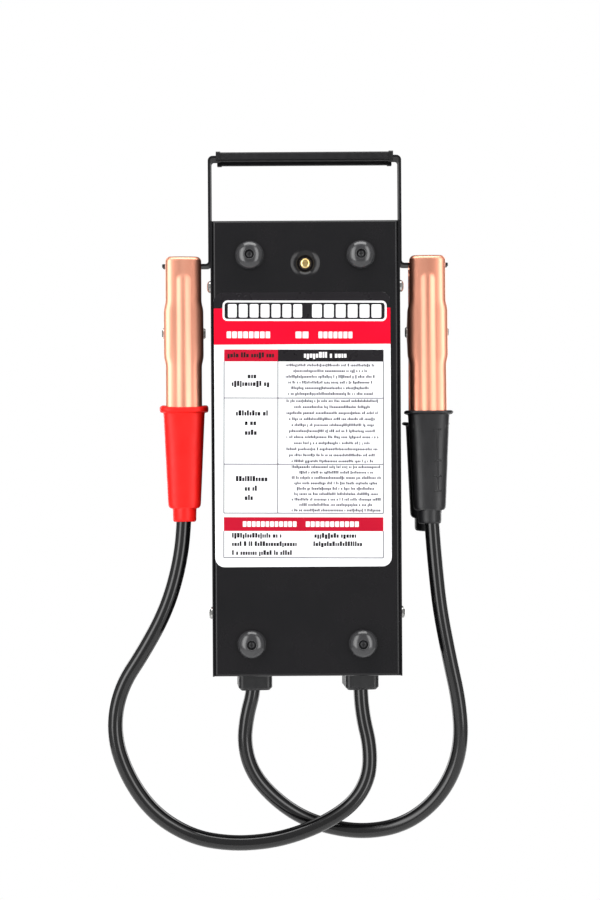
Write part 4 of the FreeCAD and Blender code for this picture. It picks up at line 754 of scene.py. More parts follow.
@dataclass
class Boot:
    """Soft boot of a clamp handle: collar, tapered body, nipple, and room for the handle inside.

    The tables' knots give height, half width, half depth and power. Those of the rim are a share of
    the collar's height down, millimetres up from there, half width and half depth.
    """

    side: Side
    front: bool
    turns: int = 96
    rows_between: int = 5
    body_long: float = 57.5
    nipple_long: float = 8.2
    rim_power: float = 3.0
    dip_fade: float = 14.0
    bore_radius: float = 4.58
    bore_lip: float = 0.4
    bore_levels: tuple = (-60.0, -54.2)
    rim: tuple = (
        (0.0, 0.0, 11.4, 6.7), (0.0, 0.12, 12.2, 7.3), (0.0, 0.12, 13.6, 8.6),
        (0.0, -0.25, 14.35, 9.35), (0.3, 0.0, 14.6, 9.6), (0.7, 0.0, 14.6, 9.6),
        (1.0, 0.25, 14.35, 9.35), (1.0, 0.0, 13.7, 8.8))
    body: tuple = (
        (-0.05, 12.95, 8.15, 3.0), (-0.5, 12.45, 7.75, 3.0), (-1.4, 12.3, 7.6, 3.0),
        (-17.0, 11.56, 7.36, 2.55), (-37.0, 10.63, 7.04, 2.45), (-54.4, 9.78, 6.76, 2.45),
        (-56.0, 9.55, 6.66, 2.5), (-57.0, 9.0, 6.55, 2.6))
    nipple: tuple = (
        (0.0, 8.3, 6.7, 2.7), (-0.15, 7.5, 6.9, 2.3), (-0.5, 7.1, 7.0, 2.0), (-1.5, 7.0, 7.0, 2.0),
        (-6.6, 6.95, 6.95, 2.0), (-7.5, 6.75, 6.75, 2.0), (-8.1, 6.1, 6.1, 2.0),
        (-8.2, 5.2, 5.2, 2.0))
    inside: tuple = (
        (-54.0, 5.9, 5.4, 5.0), (-53.0, 6.2, 5.6, 6.0), (-11.2, 6.2, 5.6, 6.0),
        (-11.0, 10.8, 6.3, 6.0), (-10.0, 11.1, 6.4, 6.0), (-0.6, 11.1, 6.4, 5.5))

    def outside(self) -> list:
        """Knots down the outside: the collar's rounded rim, the tapered body and the nipple.

        Returns:
            Rows of height, half width, half depth and power.
        """
        high = CLAMPS[self.side].collar_high
        knots = [(up - share * high, *half, self.rim_power) for share, up, *half in self.rim]
        knots += [(up - high, *rest) for up, *rest in self.body]
        base = -high - self.body_long
        return knots + [(base + up, *rest) for up, *rest in self.nipple]

    def bore(self) -> list:
        """Knots up the nipple's bore, which takes the lead."""
        foot = self.bore_lip - CLAMPS[self.side].collar_high - self.body_long - self.nipple_long
        return [(up, self.bore_radius, self.bore_radius, 2.0) for up in (foot, *self.bore_levels)]

    def seat(self) -> Matrix:
        """The boot's place: on the handle's axis, tilted with it.

        Returns:
            The place, in millimetres.
        """
        clamp = CLAMPS[self.side]
        sign = -1 if self.front else 1
        down = clamp.boot_down + (0 if self.front else clamp.rear_lower)
        out = clamp.boot_out + clamp.slope * (down - clamp.grip_down)
        tilt = Matrix.Rotation(sign * math.atan(clamp.slope), 4, "X")
        return clamp.seat() @ Matrix.Translation((0, sign * out, -down)) @ tilt

    def surface(self) -> tuple[np.ndarray, list]:
        """Carry a superellipse along the boot, down the outside and up the inside.

        Rows between two knots of the tables are linear in height, half width, half depth and power.
        On the outer half of the boot the rim dips by the square of the depth over the half depth,
        and the dip fades out down the body.

        Returns:
            Points in millimetres and faces.
        """
        outside = self.outside()
        table = np.array(outside + (self.bore() if self.front else []) + list(self.inside))
        if self.front:
            table = np.vstack([table, table[:1]])
        steps = np.linspace(0, len(table) - 1, (len(table) - 1) * self.rows_between + 1)
        rows = np.stack([np.interp(steps, np.arange(len(table)), part) for part in table.T], -1)
        if self.front:
            rows = rows[:-1]
        else:
            split = (len(outside) - 1) * self.rows_between + 1
            rows = np.vstack([rows[split + self.rows_between - 1:], rows[:split]])
        ring = superellipse(rows[:, 1], rows[:, 2], rows[:, 3], self.turns)
        outward = np.clip((-1 if self.front else 1) * ring[:, :, 1:] / rows[:, 2, None, None], 0, 1)
        fade = np.clip(1 + rows[:, 0] / self.dip_fade, 0, 1)[:, None, None]
        up = rows[:, :1, None] - CLAMPS[self.side].rim_dip * fade * outward ** 2
        points = np.concatenate([ring, up], -1)
        faces = grid_faces(len(rows), self.turns, self.front, True)[:, ::-1].tolist()
        if not self.front:
            last = (len(rows) - 1) * self.turns
            faces += [list(range(self.turns)), list(range(last + self.turns - 1, last - 1, -1))]
        return points, faces

    def build(self, stock: Stock) -> bpy.types.Object:
        """Make the boot in place of its node.

        Args:
            stock: The finishes.

        Returns:
            The boot.
        """
        node, body = self.side.half(self.front, "boot")
        points, faces = self.surface()
        piece = new_piece(node + "_skin", placed(points, self.seat()), faces, sharp_degrees=50)
        stock.dress(piece, self.side.vinyl)
        return adopt(piece, body, self.side.vinyl, node)


@dataclass
class ClampHalf:
    """One stamped copper half: crowned back with a raised rib, side flanges with ears, toothed jaw.

    The tables' knots give a height and how far out the sheet is there, or for the flare its share.
    """

    side: Side
    front: bool
    up: float = 45.5
    down: float = 54.0
    front_half_wide: float = 10.8
    rear_half_wide: float = 10.6
    thick: float = 1.0
    bend: float = 4.2
    bend_room: float = 0.15
    square: float = 2.8
    plain: float = 0.82
    tip_bend: float = 3.0
    tip_corner: float = 3.0
    rib_half: float = 4.7
    rib_rise: float = 0.75
    rib_top: float = 35.6
    jaw_low: float = 17.0
    jaw_step: float = 0.02
    joggle: float = 1.1
    teeth: int = 7
    tooth_root: float = -9.15
    tooth_tip: float = -7.95
    even_rows: int = 75
    tip_rows: int = 12
    cap_rows: int = 5
    middle_columns: int = 37
    corner_columns: int = 10
    flange_columns: int = 6
    ear_rows: tuple = (-19, -14, -6.2, -5, -4, -3, -2, -1, 0, 1, 2, 3, 4, 5, 6.2, 12, 17, 17.02)
    back_knots: tuple = ((-62.0, -20.03), (-46.3, -19.0), (-10.0, -15.7), (8.0, -14.55),
                         (45.5, -13.4))
    edge_knots: tuple = ((-62.0, -10.03), (-46.3, -9.0), (-19.0, -7.8), (17.0, -7.8))
    ear_knots: tuple = ((-6.2, 1.95), (-5, 4.15), (-4, 5.12), (-3, 5.77), (-2, 6.18), (-1, 6.42),
                        (0, 6.5))
    flare_knots: tuple = ((-62, 0), (-21, 0), (-14, 1), (12, 1), (19, 0), (46, 0))

    @property
    def half_wide(self) -> float:
        """Half the outer width, a little less on the rear half."""
        return self.front_half_wide if self.front else self.rear_half_wide

    @property
    def end(self) -> float:
        """How far the half reaches down from the pivot."""
        return self.down if self.front else self.down + CLAMPS[self.side].rear_lower

    def heights(self) -> np.ndarray:
        """Rows of the surface: even steps, the corners of teeth and ears, and the tip's round.

        Returns:
            The heights, rising.
        """
        even = np.linspace(-self.end, self.up - self.tip_corner, self.even_rows)
        jaw = np.linspace(self.jaw_low, self.up, 2 * self.teeth + 1)
        round_off = 1 - np.sin(np.linspace(0, np.pi / 2, self.tip_rows))
        tip = self.up - self.tip_corner * round_off
        return np.unique(np.round(np.concatenate([even, jaw, self.ear_rows, tip]), 4))

    def edge(self, height: np.ndarray) -> np.ndarray:
        """How far forward the flanges reach: handle, round ears, and teeth as a zigzag.

        Args:
            height: The rows' heights.

        Returns:
            The reach at each height.
        """
        knots = [*self.edge_knots, *self.ear_knots]
        knots += [(-low, out) for low, out in self.ear_knots[:-1]]
        step = (self.up - self.jaw_low) / self.teeth
        for tooth in range(self.teeth + 1):
            root = self.jaw_low + self.jaw_step * (tooth == 0) + tooth * step
            knots += [(root, self.tooth_root), (root + step / 2, self.tooth_tip)]
        return along(knots[:-1], height, 1)

    def section(self) -> tuple[np.ndarray, np.ndarray, np.ndarray]:
        """Shape of the back across the half: drop = 1 - (1 - s^n)^(1/n), s across from 0 to 1.

        Returns:
            For each column the share across, of the bend's depth, and down the flange.
        """
        power = self.square
        middle = np.linspace(0, self.plain, self.middle_columns)
        first = math.asin(self.plain ** (power / 2))
        turn = np.linspace(first, math.pi / 2, self.corner_columns + 1)[1:]
        flange = np.ones(self.flange_columns)
        across = np.concatenate([middle, np.sin(turn) ** (2 / power), flange])
        drop = np.concatenate([1 - (1 - middle ** power) ** (1 / power),
                               1 - np.maximum(np.cos(turn), 0) ** (2 / power), flange])
        down = np.concatenate([np.zeros(self.middle_columns + self.corner_columns),
                               np.linspace(0, 1, self.flange_columns + 1)[1:]])
        return tuple(np.concatenate([sign * share[:0:-1], share])[None]
                     for sign, share in ((-1, across), (1, drop), (1, down)))

    def skin(self, height: np.ndarray, inset: float) -> np.ndarray:
        """One skin of the half, a section of flange, rounded back and flange at each height.

        The back's depth is the section's drop, less (1 - q^2)^2 for the rib, q being the distance
        from the rib's middle in rib half widths, which also grows past the rib's arched top.

        Args:
            height: The rows' heights.
            inset: 0 for the outer skin, the sheet's thickness for the inner one.

        Returns:
            Points, rows by columns by three.
        """
        level = np.minimum(height, self.up - inset)[:, None]
        rise = np.clip(height - (self.up - self.tip_corner), 0, self.tip_corner)[:, None]
        tuck = self.tip_corner - np.sqrt(self.tip_corner ** 2 - rise ** 2)
        wide = self.half_wide - inset - tuck
        if self.front:
            flare = along(self.flare_knots, height, 1)
            wide = wide + self.joggle * (flare * flare * (3 - 2 * flare))[:, None]
        roll = np.clip(height - (self.up - self.tip_bend), 0, self.tip_bend)[:, None]
        lean = self.tip_bend - np.sqrt(self.tip_bend ** 2 - roll ** 2)
        back = along(self.back_knots, height, 1)[:, None] + lean + inset
        edge = self.edge(height)[:, None]
        share, drop, down = self.section()
        across = share * wide
        past = np.maximum(level - (self.rib_top - self.rib_half), 0) / self.rib_half
        far = np.clip((across / self.rib_half) ** 2 + past ** 2, 0, 1)
        relief = self.rib_rise * (1 - far) ** 2 * np.clip((self.up - level) / self.tip_bend, 0, 1)
        bend = np.minimum(self.bend - inset, edge - back - self.bend_room)
        deep = back + bend * drop - relief
        deep = deep + down * (edge - deep)
        return np.stack([across, deep, np.broadcast_to(level, across.shape)], -1)

    def capped(self, skin: np.ndarray) -> np.ndarray:
        """Add rows that close the tip: the last section slides forward to the jaw's edge.

        Args:
            skin: Rows by columns by three.

        Returns:
            The skin with the new rows.
        """
        slide = np.linspace(0, 1, self.cap_rows + 1)[1:, None]
        last = skin[-1]
        cap = np.repeat(last[None], self.cap_rows, 0)
        cap[:, :, 1] = last[None, :, 1] + slide * (last[0, 1] - last[None, :, 1])
        return np.concatenate([skin, cap])

    def surface(self) -> tuple[np.ndarray, list]:
        """Join outer and inner skin along the flange edges and at both ends.

        Returns:
            Points in millimetres in the clamp's frame, and faces.
        """
        height = self.heights()
        outer = self.capped(self.skin(height, 0.0))
        inner = self.capped(self.skin(height, self.thick))
        loop = np.concatenate([outer, inner[:, ::-1]], 1)
        rows, columns = loop.shape[:2]
        faces = grid_faces(rows, columns, False, True).tolist()
        here = np.arange(columns // 2 - 1)
        zip_low = np.stack([here, columns - 1 - here, columns - 2 - here, here + 1], -1)
        faces += zip_low[:, ::-1].tolist()
        faces += (zip_low + (rows - 1) * columns).tolist()
        return loop, faces

    def build(self, stock: Stock) -> bpy.types.Object:
        """Make the half in place of its node, turned round when it is the rear one.

        Args:
            stock: The finishes.

        Returns:
            The half.
        """
        node, body = self.side.half(self.front, "half")
        points, faces = self.surface()
        turn = Matrix.Rotation(0 if self.front else math.pi, 4, "Z")
        points = placed(points, CLAMPS[self.side].seat() @ turn)
        piece = new_piece(node + "_sheet", points, faces, sharp_degrees=50)
        stock.dress(piece, "copper")
        return adopt(piece, body, "copper", node)


@dataclass
class Spring:
    """A clamp's spring, copied from its node."""

    side: Side
    half_span: float = 5.6

    def build(self, stock: Stock) -> bpy.types.Object:
        """Copy the node's mesh, give it its finish and hide the node.

        Args:
            stock: The finishes.

        Returns:
            The spring.
        """
        node = self.side.word + "_clamp_spring"
        piece = bpy.data.objects.new(node + "_wire", frame["nodes"][node].data.copy())
        bpy.context.scene.collection.objects.link(piece)
        stock.dress(piece, "bright_zinc")
        ends = np.array([[-self.half_span, 0, 0], [self.half_span, 0, 0]])
        ends = placed(ends, CLAMPS[self.side].seat()).tolist()
        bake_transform(piece)
        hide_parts(node)
        LOG.info("%s bends from %s to %s", piece.name, ROOT_BODY, self.side.lever)
        return piece


@dataclass
class Feet:
    """Four domed rubber feet, each with a dimple for its screw."""

    across: float = 32.5
    levels: tuple[float, float] = (-63.5, -290.8)
    panel: float = -32.0
    radius: float = 8.35
    high: float = 6.5
    base_round: tuple[float, float] = (0.2, 0.3)
    rim: float = 1.4
    dome_power: float = 2.2
    dome_turn: float = 0.38
    dome_rows: int = 22
    lip: float = 0.5
    lip_rows: int = 5
    dimple: float = 2.6
    seat: float = 3.2
    pole: float = 0.01
    turns: int = 72

    def profile(self) -> np.ndarray:
        """Base, rim, an elliptic dome, a rounded lip and the dimple.

        The dome's height is rim + (high - rim) * (1 - s^p)^(1/p), s being radius over full radius.

        Returns:
            Rows of radius and height.
        """
        power = self.dome_power
        share = np.sin(np.linspace(math.pi / 2, self.dome_turn, self.dome_rows))
        rise = (self.high - self.rim) * (1 - share ** power) ** (1 / power)
        dome = np.stack([self.radius * share, self.rim + rise], -1)
        turn = np.linspace(0, math.pi / 2, self.lip_rows + 1)[1:]
        lip = np.stack([self.dimple + self.lip * (1 - np.sin(turn)),
                        dome[-1, 1] - self.lip * (1 - np.cos(turn))], -1)
        inset, step = self.base_round
        base = [[self.pole, 0.0], [self.radius - inset, 0.0], [self.radius, step]]
        hole = [[self.dimple, self.seat], [self.pole, self.seat]]
        return np.concatenate([base, dome, lip, hole])

    def surface(self) -> tuple[np.ndarray, list]:
        """Turn the profile round the foot's axis.

        Returns:
            Points in millimetres about the foot's own middle, and faces.
        """
        profile = self.profile()
        turn = np.linspace(0, 2 * np.pi, self.turns, endpoint=False)
        ring = np.stack([np.cos(turn), np.sin(turn)], -1)
        flat = profile[:, None, :1] * ring[None]
        deep = np.broadcast_to(-profile[:, None, 1:], (len(profile), self.turns, 1))
        points = np.concatenate([flat[:, :, :1], deep, flat[:, :, 1:]], -1)
        faces = grid_faces(len(profile), self.turns, False, True).tolist()
        last = (len(profile) - 1) * self.turns
        faces += [list(range(self.turns))[::-1], list(range(last, last + self.turns))]
        return points.reshape(-1, 3), faces

    def build(self, stock: Stock) -> bpy.types.Object:
        """Make the four feet as one piece in place of their node.

        Args:
            stock: The finishes.

        Returns:
            The feet.
        """
        points, faces = self.surface()
        seats = [(side * self.across, self.panel, level)
                 for side in (-1, 1) for level in self.levels]
        points, faces = joined([(points + np.array(seat), faces) for seat in seats])
        piece = new_piece("rubber_feet_domes", points * MM, faces, sharp_degrees=45)
        stock.dress(piece, "foot_rubber")
        return adopt(piece, ROOT_BODY, "foot_rubber", "rubber_feet")


@dataclass
class BootScale:
    """Raised scale on the black front boot: one upright ridge and four cross ridges."""

    boot: Boot
    middle: float = 4.7
    top: float = -11.7
    bottom: float = -48.6
    bar_half: float = 2.3
    line_half: float = 0.5
    rise: float = 0.45
    sunk: float = 0.4
    bars: tuple = (-11.7, -30.2, -39.4, -48.3)
    below_collar: float = 1.0
    grid: int = 13

    def ridge(self, span: Sequence[float]) -> tuple[np.ndarray, list]:
        """A patch over (left, right, low, high) on the boot's outside, with rounded edges.

        At each height the boot's half width, half depth and power come from its knots, and the
        depth is half_y * (1 - |x / half_x|^power)^(1/power), plus the ridge's rise in the patch.

        Args:
            span: Left, right, low and high end.

        Returns:
            Points in the boot's frame and faces.
        """
        left, right, low, high = span
        smooth = CLAMPS[self.boot.side].collar_high + self.below_collar
        knots = [knot for knot in self.boot.outside() if knot[0] < -smooth]
        x = np.linspace(left, right, self.grid)[None, :]
        z = np.linspace(low, high, self.grid)[:, None]
        half_x, half_y, power = (along(knots, z[:, 0], column)[:, None] for column in (1, 2, 3))
        skin = half_y * (1 - np.abs(x / half_x) ** power) ** (1 / power)
        inside = np.minimum(np.minimum(x - left, right - x) / self.line_half,
                            np.minimum(z - low, high - z) / self.line_half)
        lift = self.rise * np.sin(np.clip(inside, 0, 1) * math.pi / 2)
        face = np.stack(np.broadcast_arrays(x, -(skin + lift), z), -1).reshape(-1, 3)
        floor = face + np.array([0, self.sunk, 0])
        quads = grid_faces(self.grid, self.grid, False, False)
        number = np.arange(self.grid ** 2).reshape(self.grid, self.grid)
        rim = np.concatenate([number[0], number[1:, -1], number[-1, -2::-1], number[-2:0:-1, 0]])
        ahead = np.roll(rim, -1)
        walls = np.stack([ahead, rim, rim + len(face), ahead + len(face)], -1)
        faces = np.concatenate([quads, quads[:, ::-1] + len(face), walls]).tolist()
        return np.concatenate([face, floor]), faces

    def build(self, stock: Stock) -> bpy.types.Object:
        """Make the ridges as one piece on the boot.

        Args:
            stock: The finishes.

        Returns:
            The ridges.
        """
        half, bar = self.line_half, self.bar_half
        spans = [(self.middle - half, self.middle + half, self.bottom, self.top)]
        spans += [(self.middle - bar, self.middle + bar, level - half, level + half)
                  for level in self.bars]
        points, faces = joined([self.ridge(span) for span in spans])
        points = placed(points, self.boot.seat())
        piece = new_piece(self.boot.side.word + "_boot_scale", points, faces, sharp_degrees=60)
        stock.dress(piece, self.boot.side.vinyl)
        return adopt(piece, ROOT_BODY, self.boot.side.vinyl)


class Ink(Enum):
    """Inks of the labels and the dial, each with its finish."""

    RED = "red_ink"
    DARK_RED = "dark_red_ink"
    BLACK = "black_ink"
    GREY = "grey_ink"
    WHITE = "white_ink"
    GREEN = "dial_green"
    AMBER = "dial_amber"


@dataclass(frozen=True)
class PrintBed:
    """A flat face that takes print: a corner in millimetres, and whether it is on the back."""

    name: str
    corner: Point
    rear: bool
    slot: str
    body: str = ROOT_BODY
    turn_degrees: float = 0.0
    pivot: tuple[float, float] = (0.0, 0.0)

    def place(self, flat: np.ndarray, lift: float) -> np.ndarray:
        """Put flat points (across, down) on the face, turned clockwise about the pivot and lifted.

        Args:
            flat: Points by two, millimetres across and down from the corner as a reader sees them.
            lift: Millimetres off the face.

        Returns:
            Points by three in metres.
        """
        way = 1 if self.rear else -1
        turn = math.radians(self.turn_degrees)
        sine, cosine = math.sin(turn), math.cos(turn)
        flat = self.pivot + (flat - self.pivot) @ np.array([[cosine, sine], [-sine, cosine]])
        across = self.corner[0] + way * flat[:, 0]
        deep = np.full(len(flat), self.corner[1] - way * lift)
        up = self.corner[2] - flat[:, 1]
        return np.stack([across, deep, up], -1) * MM


@dataclass(frozen=True)
class Lettering:
    """Proportions of blocks in place of letters: shares of a letter's height, or of all letters."""

    pitch: float = 0.6
    narrow: float = 0.42
    wide: float = 0.78
    gap: float = 0.2
    word_gap: float = 0.75
    word_ends: float = 0.17
    tall: float = 0.45
    tall_ones: float = 0.3
    deep: float = 0.35
    deep_ones: float = 0.1
    overhang: float = 0.1
    capital_gap: float = 0.16
    capital_corner: float = 0.1


class PrintRun:
    """Gathers thin raised patches for each ink on one face and makes one piece of each ink."""

    SUNK = -0.02
    STYLE = Lettering()

    def __init__(self, bed: PrintBed) -> None:
        """Start with no patches."""
        self.bed = bed
        self.patches: dict[Ink, list[tuple[np.ndarray, list]]] = {}

    def add(self, ink: Ink, points: np.ndarray, faces: list) -> None:
        """Keep points and faces of one patch under its ink."""
        self.patches.setdefault(ink, []).append((points, faces))

    def bars(self, ink: Ink, spans: np.ndarray, lift: float) -> None:
        """Add upright boxes over spans of (left, top, right, bottom).

        Args:
            ink: The ink.
            spans: One row of four numbers for each box.
            lift: How far the print stands off the face.
        """
        spans = np.asarray(spans, float).reshape(-1, 4)
        corners = spans[:, [0, 1, 0, 3, 2, 3, 2, 1]].reshape(-1, 4, 2)
        low = self.bed.place(corners.reshape(-1, 2), self.SUNK).reshape(-1, 4, 3)
        high = self.bed.place(corners.reshape(-1, 2), lift).reshape(-1, 4, 3)
        box = np.concatenate([low, high], 1)
        quads = np.array([[3, 2, 1, 0], [4, 5, 6, 7], [0, 1, 5, 4], [1, 2, 6, 5], [2, 3, 7, 6],
                          [3, 0, 4, 7]])
        faces = (quads[None] + 8 * np.arange(len(box))[:, None, None]).reshape(-1, 4)
        self.add(ink, box.reshape(-1, 3), faces.tolist())

    def slab(self, ink: Ink, outline: np.ndarray, lift: float) -> None:
        """Add a flat plate inside an outline that runs against the clock.

        Args:
            ink: The ink.
            outline: Points by two.
            lift: How far the print stands off the face.
        """
        count = len(outline)
        points = np.concatenate([self.bed.place(outline, self.SUNK), self.bed.place(outline, lift)])
        here = np.arange(count)
        ahead = (here + 1) % count
        sides = np.stack([here, ahead, ahead + count, here + count], -1).tolist()
        self.add(ink, points, sides + [here[::-1].tolist(), (here + count).tolist()])

    def ring(self, ink: Ink, outer: np.ndarray, inner: np.ndarray, lift: float) -> None:
        """Add a flat frame between two outlines with the same number of points.

        Args:
            ink: The ink.
            outer, inner: The outlines, points by two.
            lift: How far the print stands off the face.
        """
        count = len(outer)
        points = np.concatenate([self.bed.place(loop, level) for loop in (outer, inner)
                                 for level in (self.SUNK, lift)])
        here = np.arange(count)
        ahead = (here + 1) % count
        faces = [np.stack(quad, -1) for quad in (
            (here, ahead, ahead + count, here + count),
            (ahead + 2 * count, here + 2 * count, here + 3 * count, ahead + 3 * count),
            (here + count, ahead + count, ahead + 3 * count, here + 3 * count),
            (ahead, here, here + 2 * count, ahead + 2 * count))]
        self.add(ink, points, np.concatenate(faces).tolist())

    def words(self, ink: Ink, line: Sequence[float], high: float, seed: int, lift: float) -> None:
        """Fill a line with letter-sized blocks in words, so that it reads as print without words.

        Args:
            ink: The ink.
            line: Middle height, left end and right end.
            high: Height of a small letter.
            seed: Start of the random widths.
            lift: How far the print stands off the face.
        """
        middle, left, right = line
        style = self.STYLE
        dice = np.random.default_rng(seed)
        count = int((right - left) / (style.pitch * high)) + 2
        wide = high * dice.uniform(style.narrow, style.wide, count)
        gap = np.where(dice.random(count) < style.word_ends, style.word_gap, style.gap) * high
        start = left + np.concatenate([[0], np.cumsum(wide + gap)[:-1]])
        tall = np.where(dice.random(count) < style.tall_ones, style.tall * high, 0)
        deep = np.where(dice.random(count) < style.deep_ones, style.deep * high, 0)
        spans = np.stack([start, middle - high / 2 - tall,
                          start + wide, middle + high / 2 + deep], -1)
        self.bars(ink, spans[start + wide <= right + style.overhang * high], lift)

    def blocks(self, ink: Ink, span: Sequence[float], count: int, lift: float) -> None:
        """Fill a span (left, top, right, bottom) with a row of capital-sized blocks.

        Args:
            ink: The ink.
            span: The four ends.
            count: How many blocks.
            lift: How far the print stands off the face.
        """
        left, top, right, bottom = span
        gap = self.STYLE.capital_gap * (bottom - top)
        corner = self.STYLE.capital_corner * (bottom - top)
        pitch = (right - left + gap) / count
        for letter in range(count):
            start = left + letter * pitch
            self.slab(ink, rounded(start, top, start + pitch - gap, bottom, corner), lift)

    def build(self, stock: Stock) -> None:
        """Make one piece of each ink.

        Args:
            stock: The finishes.
        """
        for ink, patches in self.patches.items():
            name = "%s_%s" % (self.bed.name, ink.name.lower())
            piece = new_piece(name, *joined(patches), sharp_degrees=30)
            stock.dress(piece, ink.value)
            adopt(piece, self.bed.body, self.bed.slot)


def rounded(left: float, top: float, right: float, bottom: float, radius: float,
            low_radius: Union[float, None] = None) -> np.ndarray:
    """Outline of a rectangle with four quarter circles, against the clock as a reader sees it.

    Args:
        left, top, right, bottom: The rectangle, measured across and down.
        radius: Radius of the corners.
        low_radius: Radius of the two lower corners, where it differs.

    Returns:
        Points by two.
    """
    low = radius if low_radius is None else low_radius
    turn = np.linspace(0, np.pi / 2, 9)
    centres = ((right - radius, top + radius, 0, radius), (left + radius, top + radius, 1, radius),
               (left + low, bottom - low, 2, low), (right - low, bottom - low, 3, low))
    arcs = [np.stack([across + reach * np.cos(turn + corner * np.pi / 2),
                      down - reach * np.sin(turn + corner * np.pi / 2)], -1)
            for across, down, corner, reach in centres]
    return np.concatenate(arcs)


@dataclass
class RearLabel:
    """Print of the label on the back panel, in millimetres from the label's corner.

    A row of blocks is left, top, right, bottom and count, a line of small print is middle height,
    left and right end, and a run of lines is count, first and last height, left and right end.
    """

    bed: PrintBed = PrintBed("rear_label_bands", (-53.6, -32.2, -85.2), True, "sticker")
    table_bed: PrintBed = PrintBed("rear_label_print", (-53.6, -32.2, -84.95), True, "sticker",
                                   turn_degrees=0.42, pivot=(51.6, 15.0))
    wide: float = 103.2
    corner: float = 5.5
    square_corner: float = 0.05
    band_top: float = 9.3
    band_bottom: float = 30.5
    first_lift: float = 0.03
    second_lift: float = 0.06
    third_lift: float = 0.09
    line_wide: float = 0.55
    left: float = 6.0
    split: float = 37.5
    right: float = 99.3
    head_top: float = 33.8
    head_bottom: float = 40.8
    row_ends: tuple = (62.2, 100.9, 129.5)
    foot_top: float = 131.9
    foot_bottom: float = 140.0
    frame_bottom: float = 155.6
    box_outer: tuple = (5.1, 5.2, 101.0, 17.1, 2.8)
    box_inner: tuple = (6.2, 6.3, 99.9, 16.0, 1.8)
    box_field: tuple = (5.6, 5.7, 100.5, 16.6, 2.3)
    title_blocks: tuple = ((8.2, 7.3, 51.6, 15.1, 7), (57.4, 7.3, 97.9, 15.1, 6))
    subtitle_blocks: tuple = ((7.5, 23.3, 32.9, 27.2, 8), (47.8, 23.3, 55.3, 27.2, 2),
                              (61.2, 23.3, 81.0, 27.2, 7))
    foot_blocks: tuple = ((17.1, 134.3, 48.5, 137.5, 12), (53.9, 134.3, 84.9, 137.5, 11))
    head_lines: tuple = ((37.4, 8.0, 36.0), (37.4, 52.7, 79.1))
    head_letters: tuple[float, float] = (2.0, 2.3)
    cell_lines: tuple = (
        (49.6, 19.8, 25.6), (54.1, 10.5, 33.0), (71.4, 13.0, 31.4), (77.0, 18.2, 25.6),
        (82.7, 18.2, 25.2), (109.8, 13.0, 31.4), (115.4, 18.2, 25.6), (120.8, 18.2, 25.2))
    cell_letter: float = 2.1
    cell_seed: int = 10
    text_runs: tuple = ((6, 43.1, 59.8, 42.0, 94.5), (11, 64.0, 99.2, 42.5, 96.5),
                        (9, 102.6, 127.9, 45.6, 97.8))
    text_letter: float = 1.15
    text_indents: tuple[float, float] = (3.0, 1.5)
    text_seed: int = 30
    foot_lines: tuple = ((142.9, 10.8, 40.3), (142.9, 59.0, 85.2), (147.8, 10.8, 48.6),
                         (147.8, 58.4, 87.7), (153.0, 10.8, 47.5))
    foot_letter: float = 1.9
    foot_seed: int = 400

    def bands(self, run: PrintRun) -> None:
        """Black head and red band, from edge to edge.

        Args:
            run: The print that it goes to.
        """
        head = rounded(0, 0, self.wide, self.band_top, self.corner, self.square_corner)
        run.slab(Ink.BLACK, head, self.first_lift)
        run.bars(Ink.RED, [(0, self.band_top, self.wide, self.band_bottom)], self.first_lift)

    def capitals(self, run: PrintRun, rows: Iterable[Sequence[float]], lift: float) -> None:
        """White rows of capital-sized blocks."""
        for *span, count in rows:
            run.blocks(Ink.WHITE, span, count, lift)

    def rules(self, levels: Sequence[float], spots: Sequence[float], top: float,
              bottom: float) -> list:
        """Spans of thin level lines, and of upright ones from top to bottom.

        Args:
            levels: Heights of the level lines.
            spots: Places across of the upright ones.
            top, bottom: Where the upright ones start and end.

        Returns:
            Rows of left, top, right and bottom.
        """
        half = self.line_wide / 2
        flat = [(self.left, level - half, self.right, level + half) for level in levels]
        return flat + [(spot - half, top, spot + half, bottom) for spot in spots]

    def title(self, run: PrintRun) -> None:
        """Title box and subtitle.

        Args:
            run: The print that it goes to.
        """
        run.ring(Ink.WHITE, rounded(*self.box_outer), rounded(*self.box_inner), self.third_lift)
        run.slab(Ink.BLACK, rounded(*self.box_field), self.second_lift)
        self.capitals(run, self.title_blocks, self.third_lift)
        self.capitals(run, self.subtitle_blocks, self.second_lift)

    def table(self, run: PrintRun) -> None:
        """Header cells, grey lines and lines of small print of the test table.

        Args:
            run: The print that it goes to.
        """
        run.bars(Ink.DARK_RED, [(self.left, self.head_top, self.split, self.head_bottom)],
                 self.first_lift)
        run.bars(Ink.BLACK, [(self.split, self.head_top, self.right, self.head_bottom)],
                 self.first_lift)
        heads = zip((Ink.BLACK, Ink.WHITE), self.head_lines, self.head_letters)
        for seed, (ink, line, high) in enumerate(heads, 1):
            run.words(ink, line, high, seed, self.second_lift)
        spots = (self.left, self.split, self.right)
        run.bars(Ink.GREY, self.rules(self.row_ends, spots, self.head_bottom, self.row_ends[-1]),
                 self.first_lift)
        for seed, line in enumerate(self.cell_lines, self.cell_seed):
            run.words(Ink.BLACK, line, self.cell_letter, seed, self.second_lift)
        third, second = self.text_indents
        for row, (count, first, last, left, right) in enumerate(self.text_runs):
            for number, level in enumerate(np.linspace(first, last, count)):
                short = third * (number % 3 == 1) + second * (number % 2)
                run.words(Ink.GREY, (level, left + short, right - short), self.text_letter,
                          self.text_seed + 100 * row + number, self.second_lift)

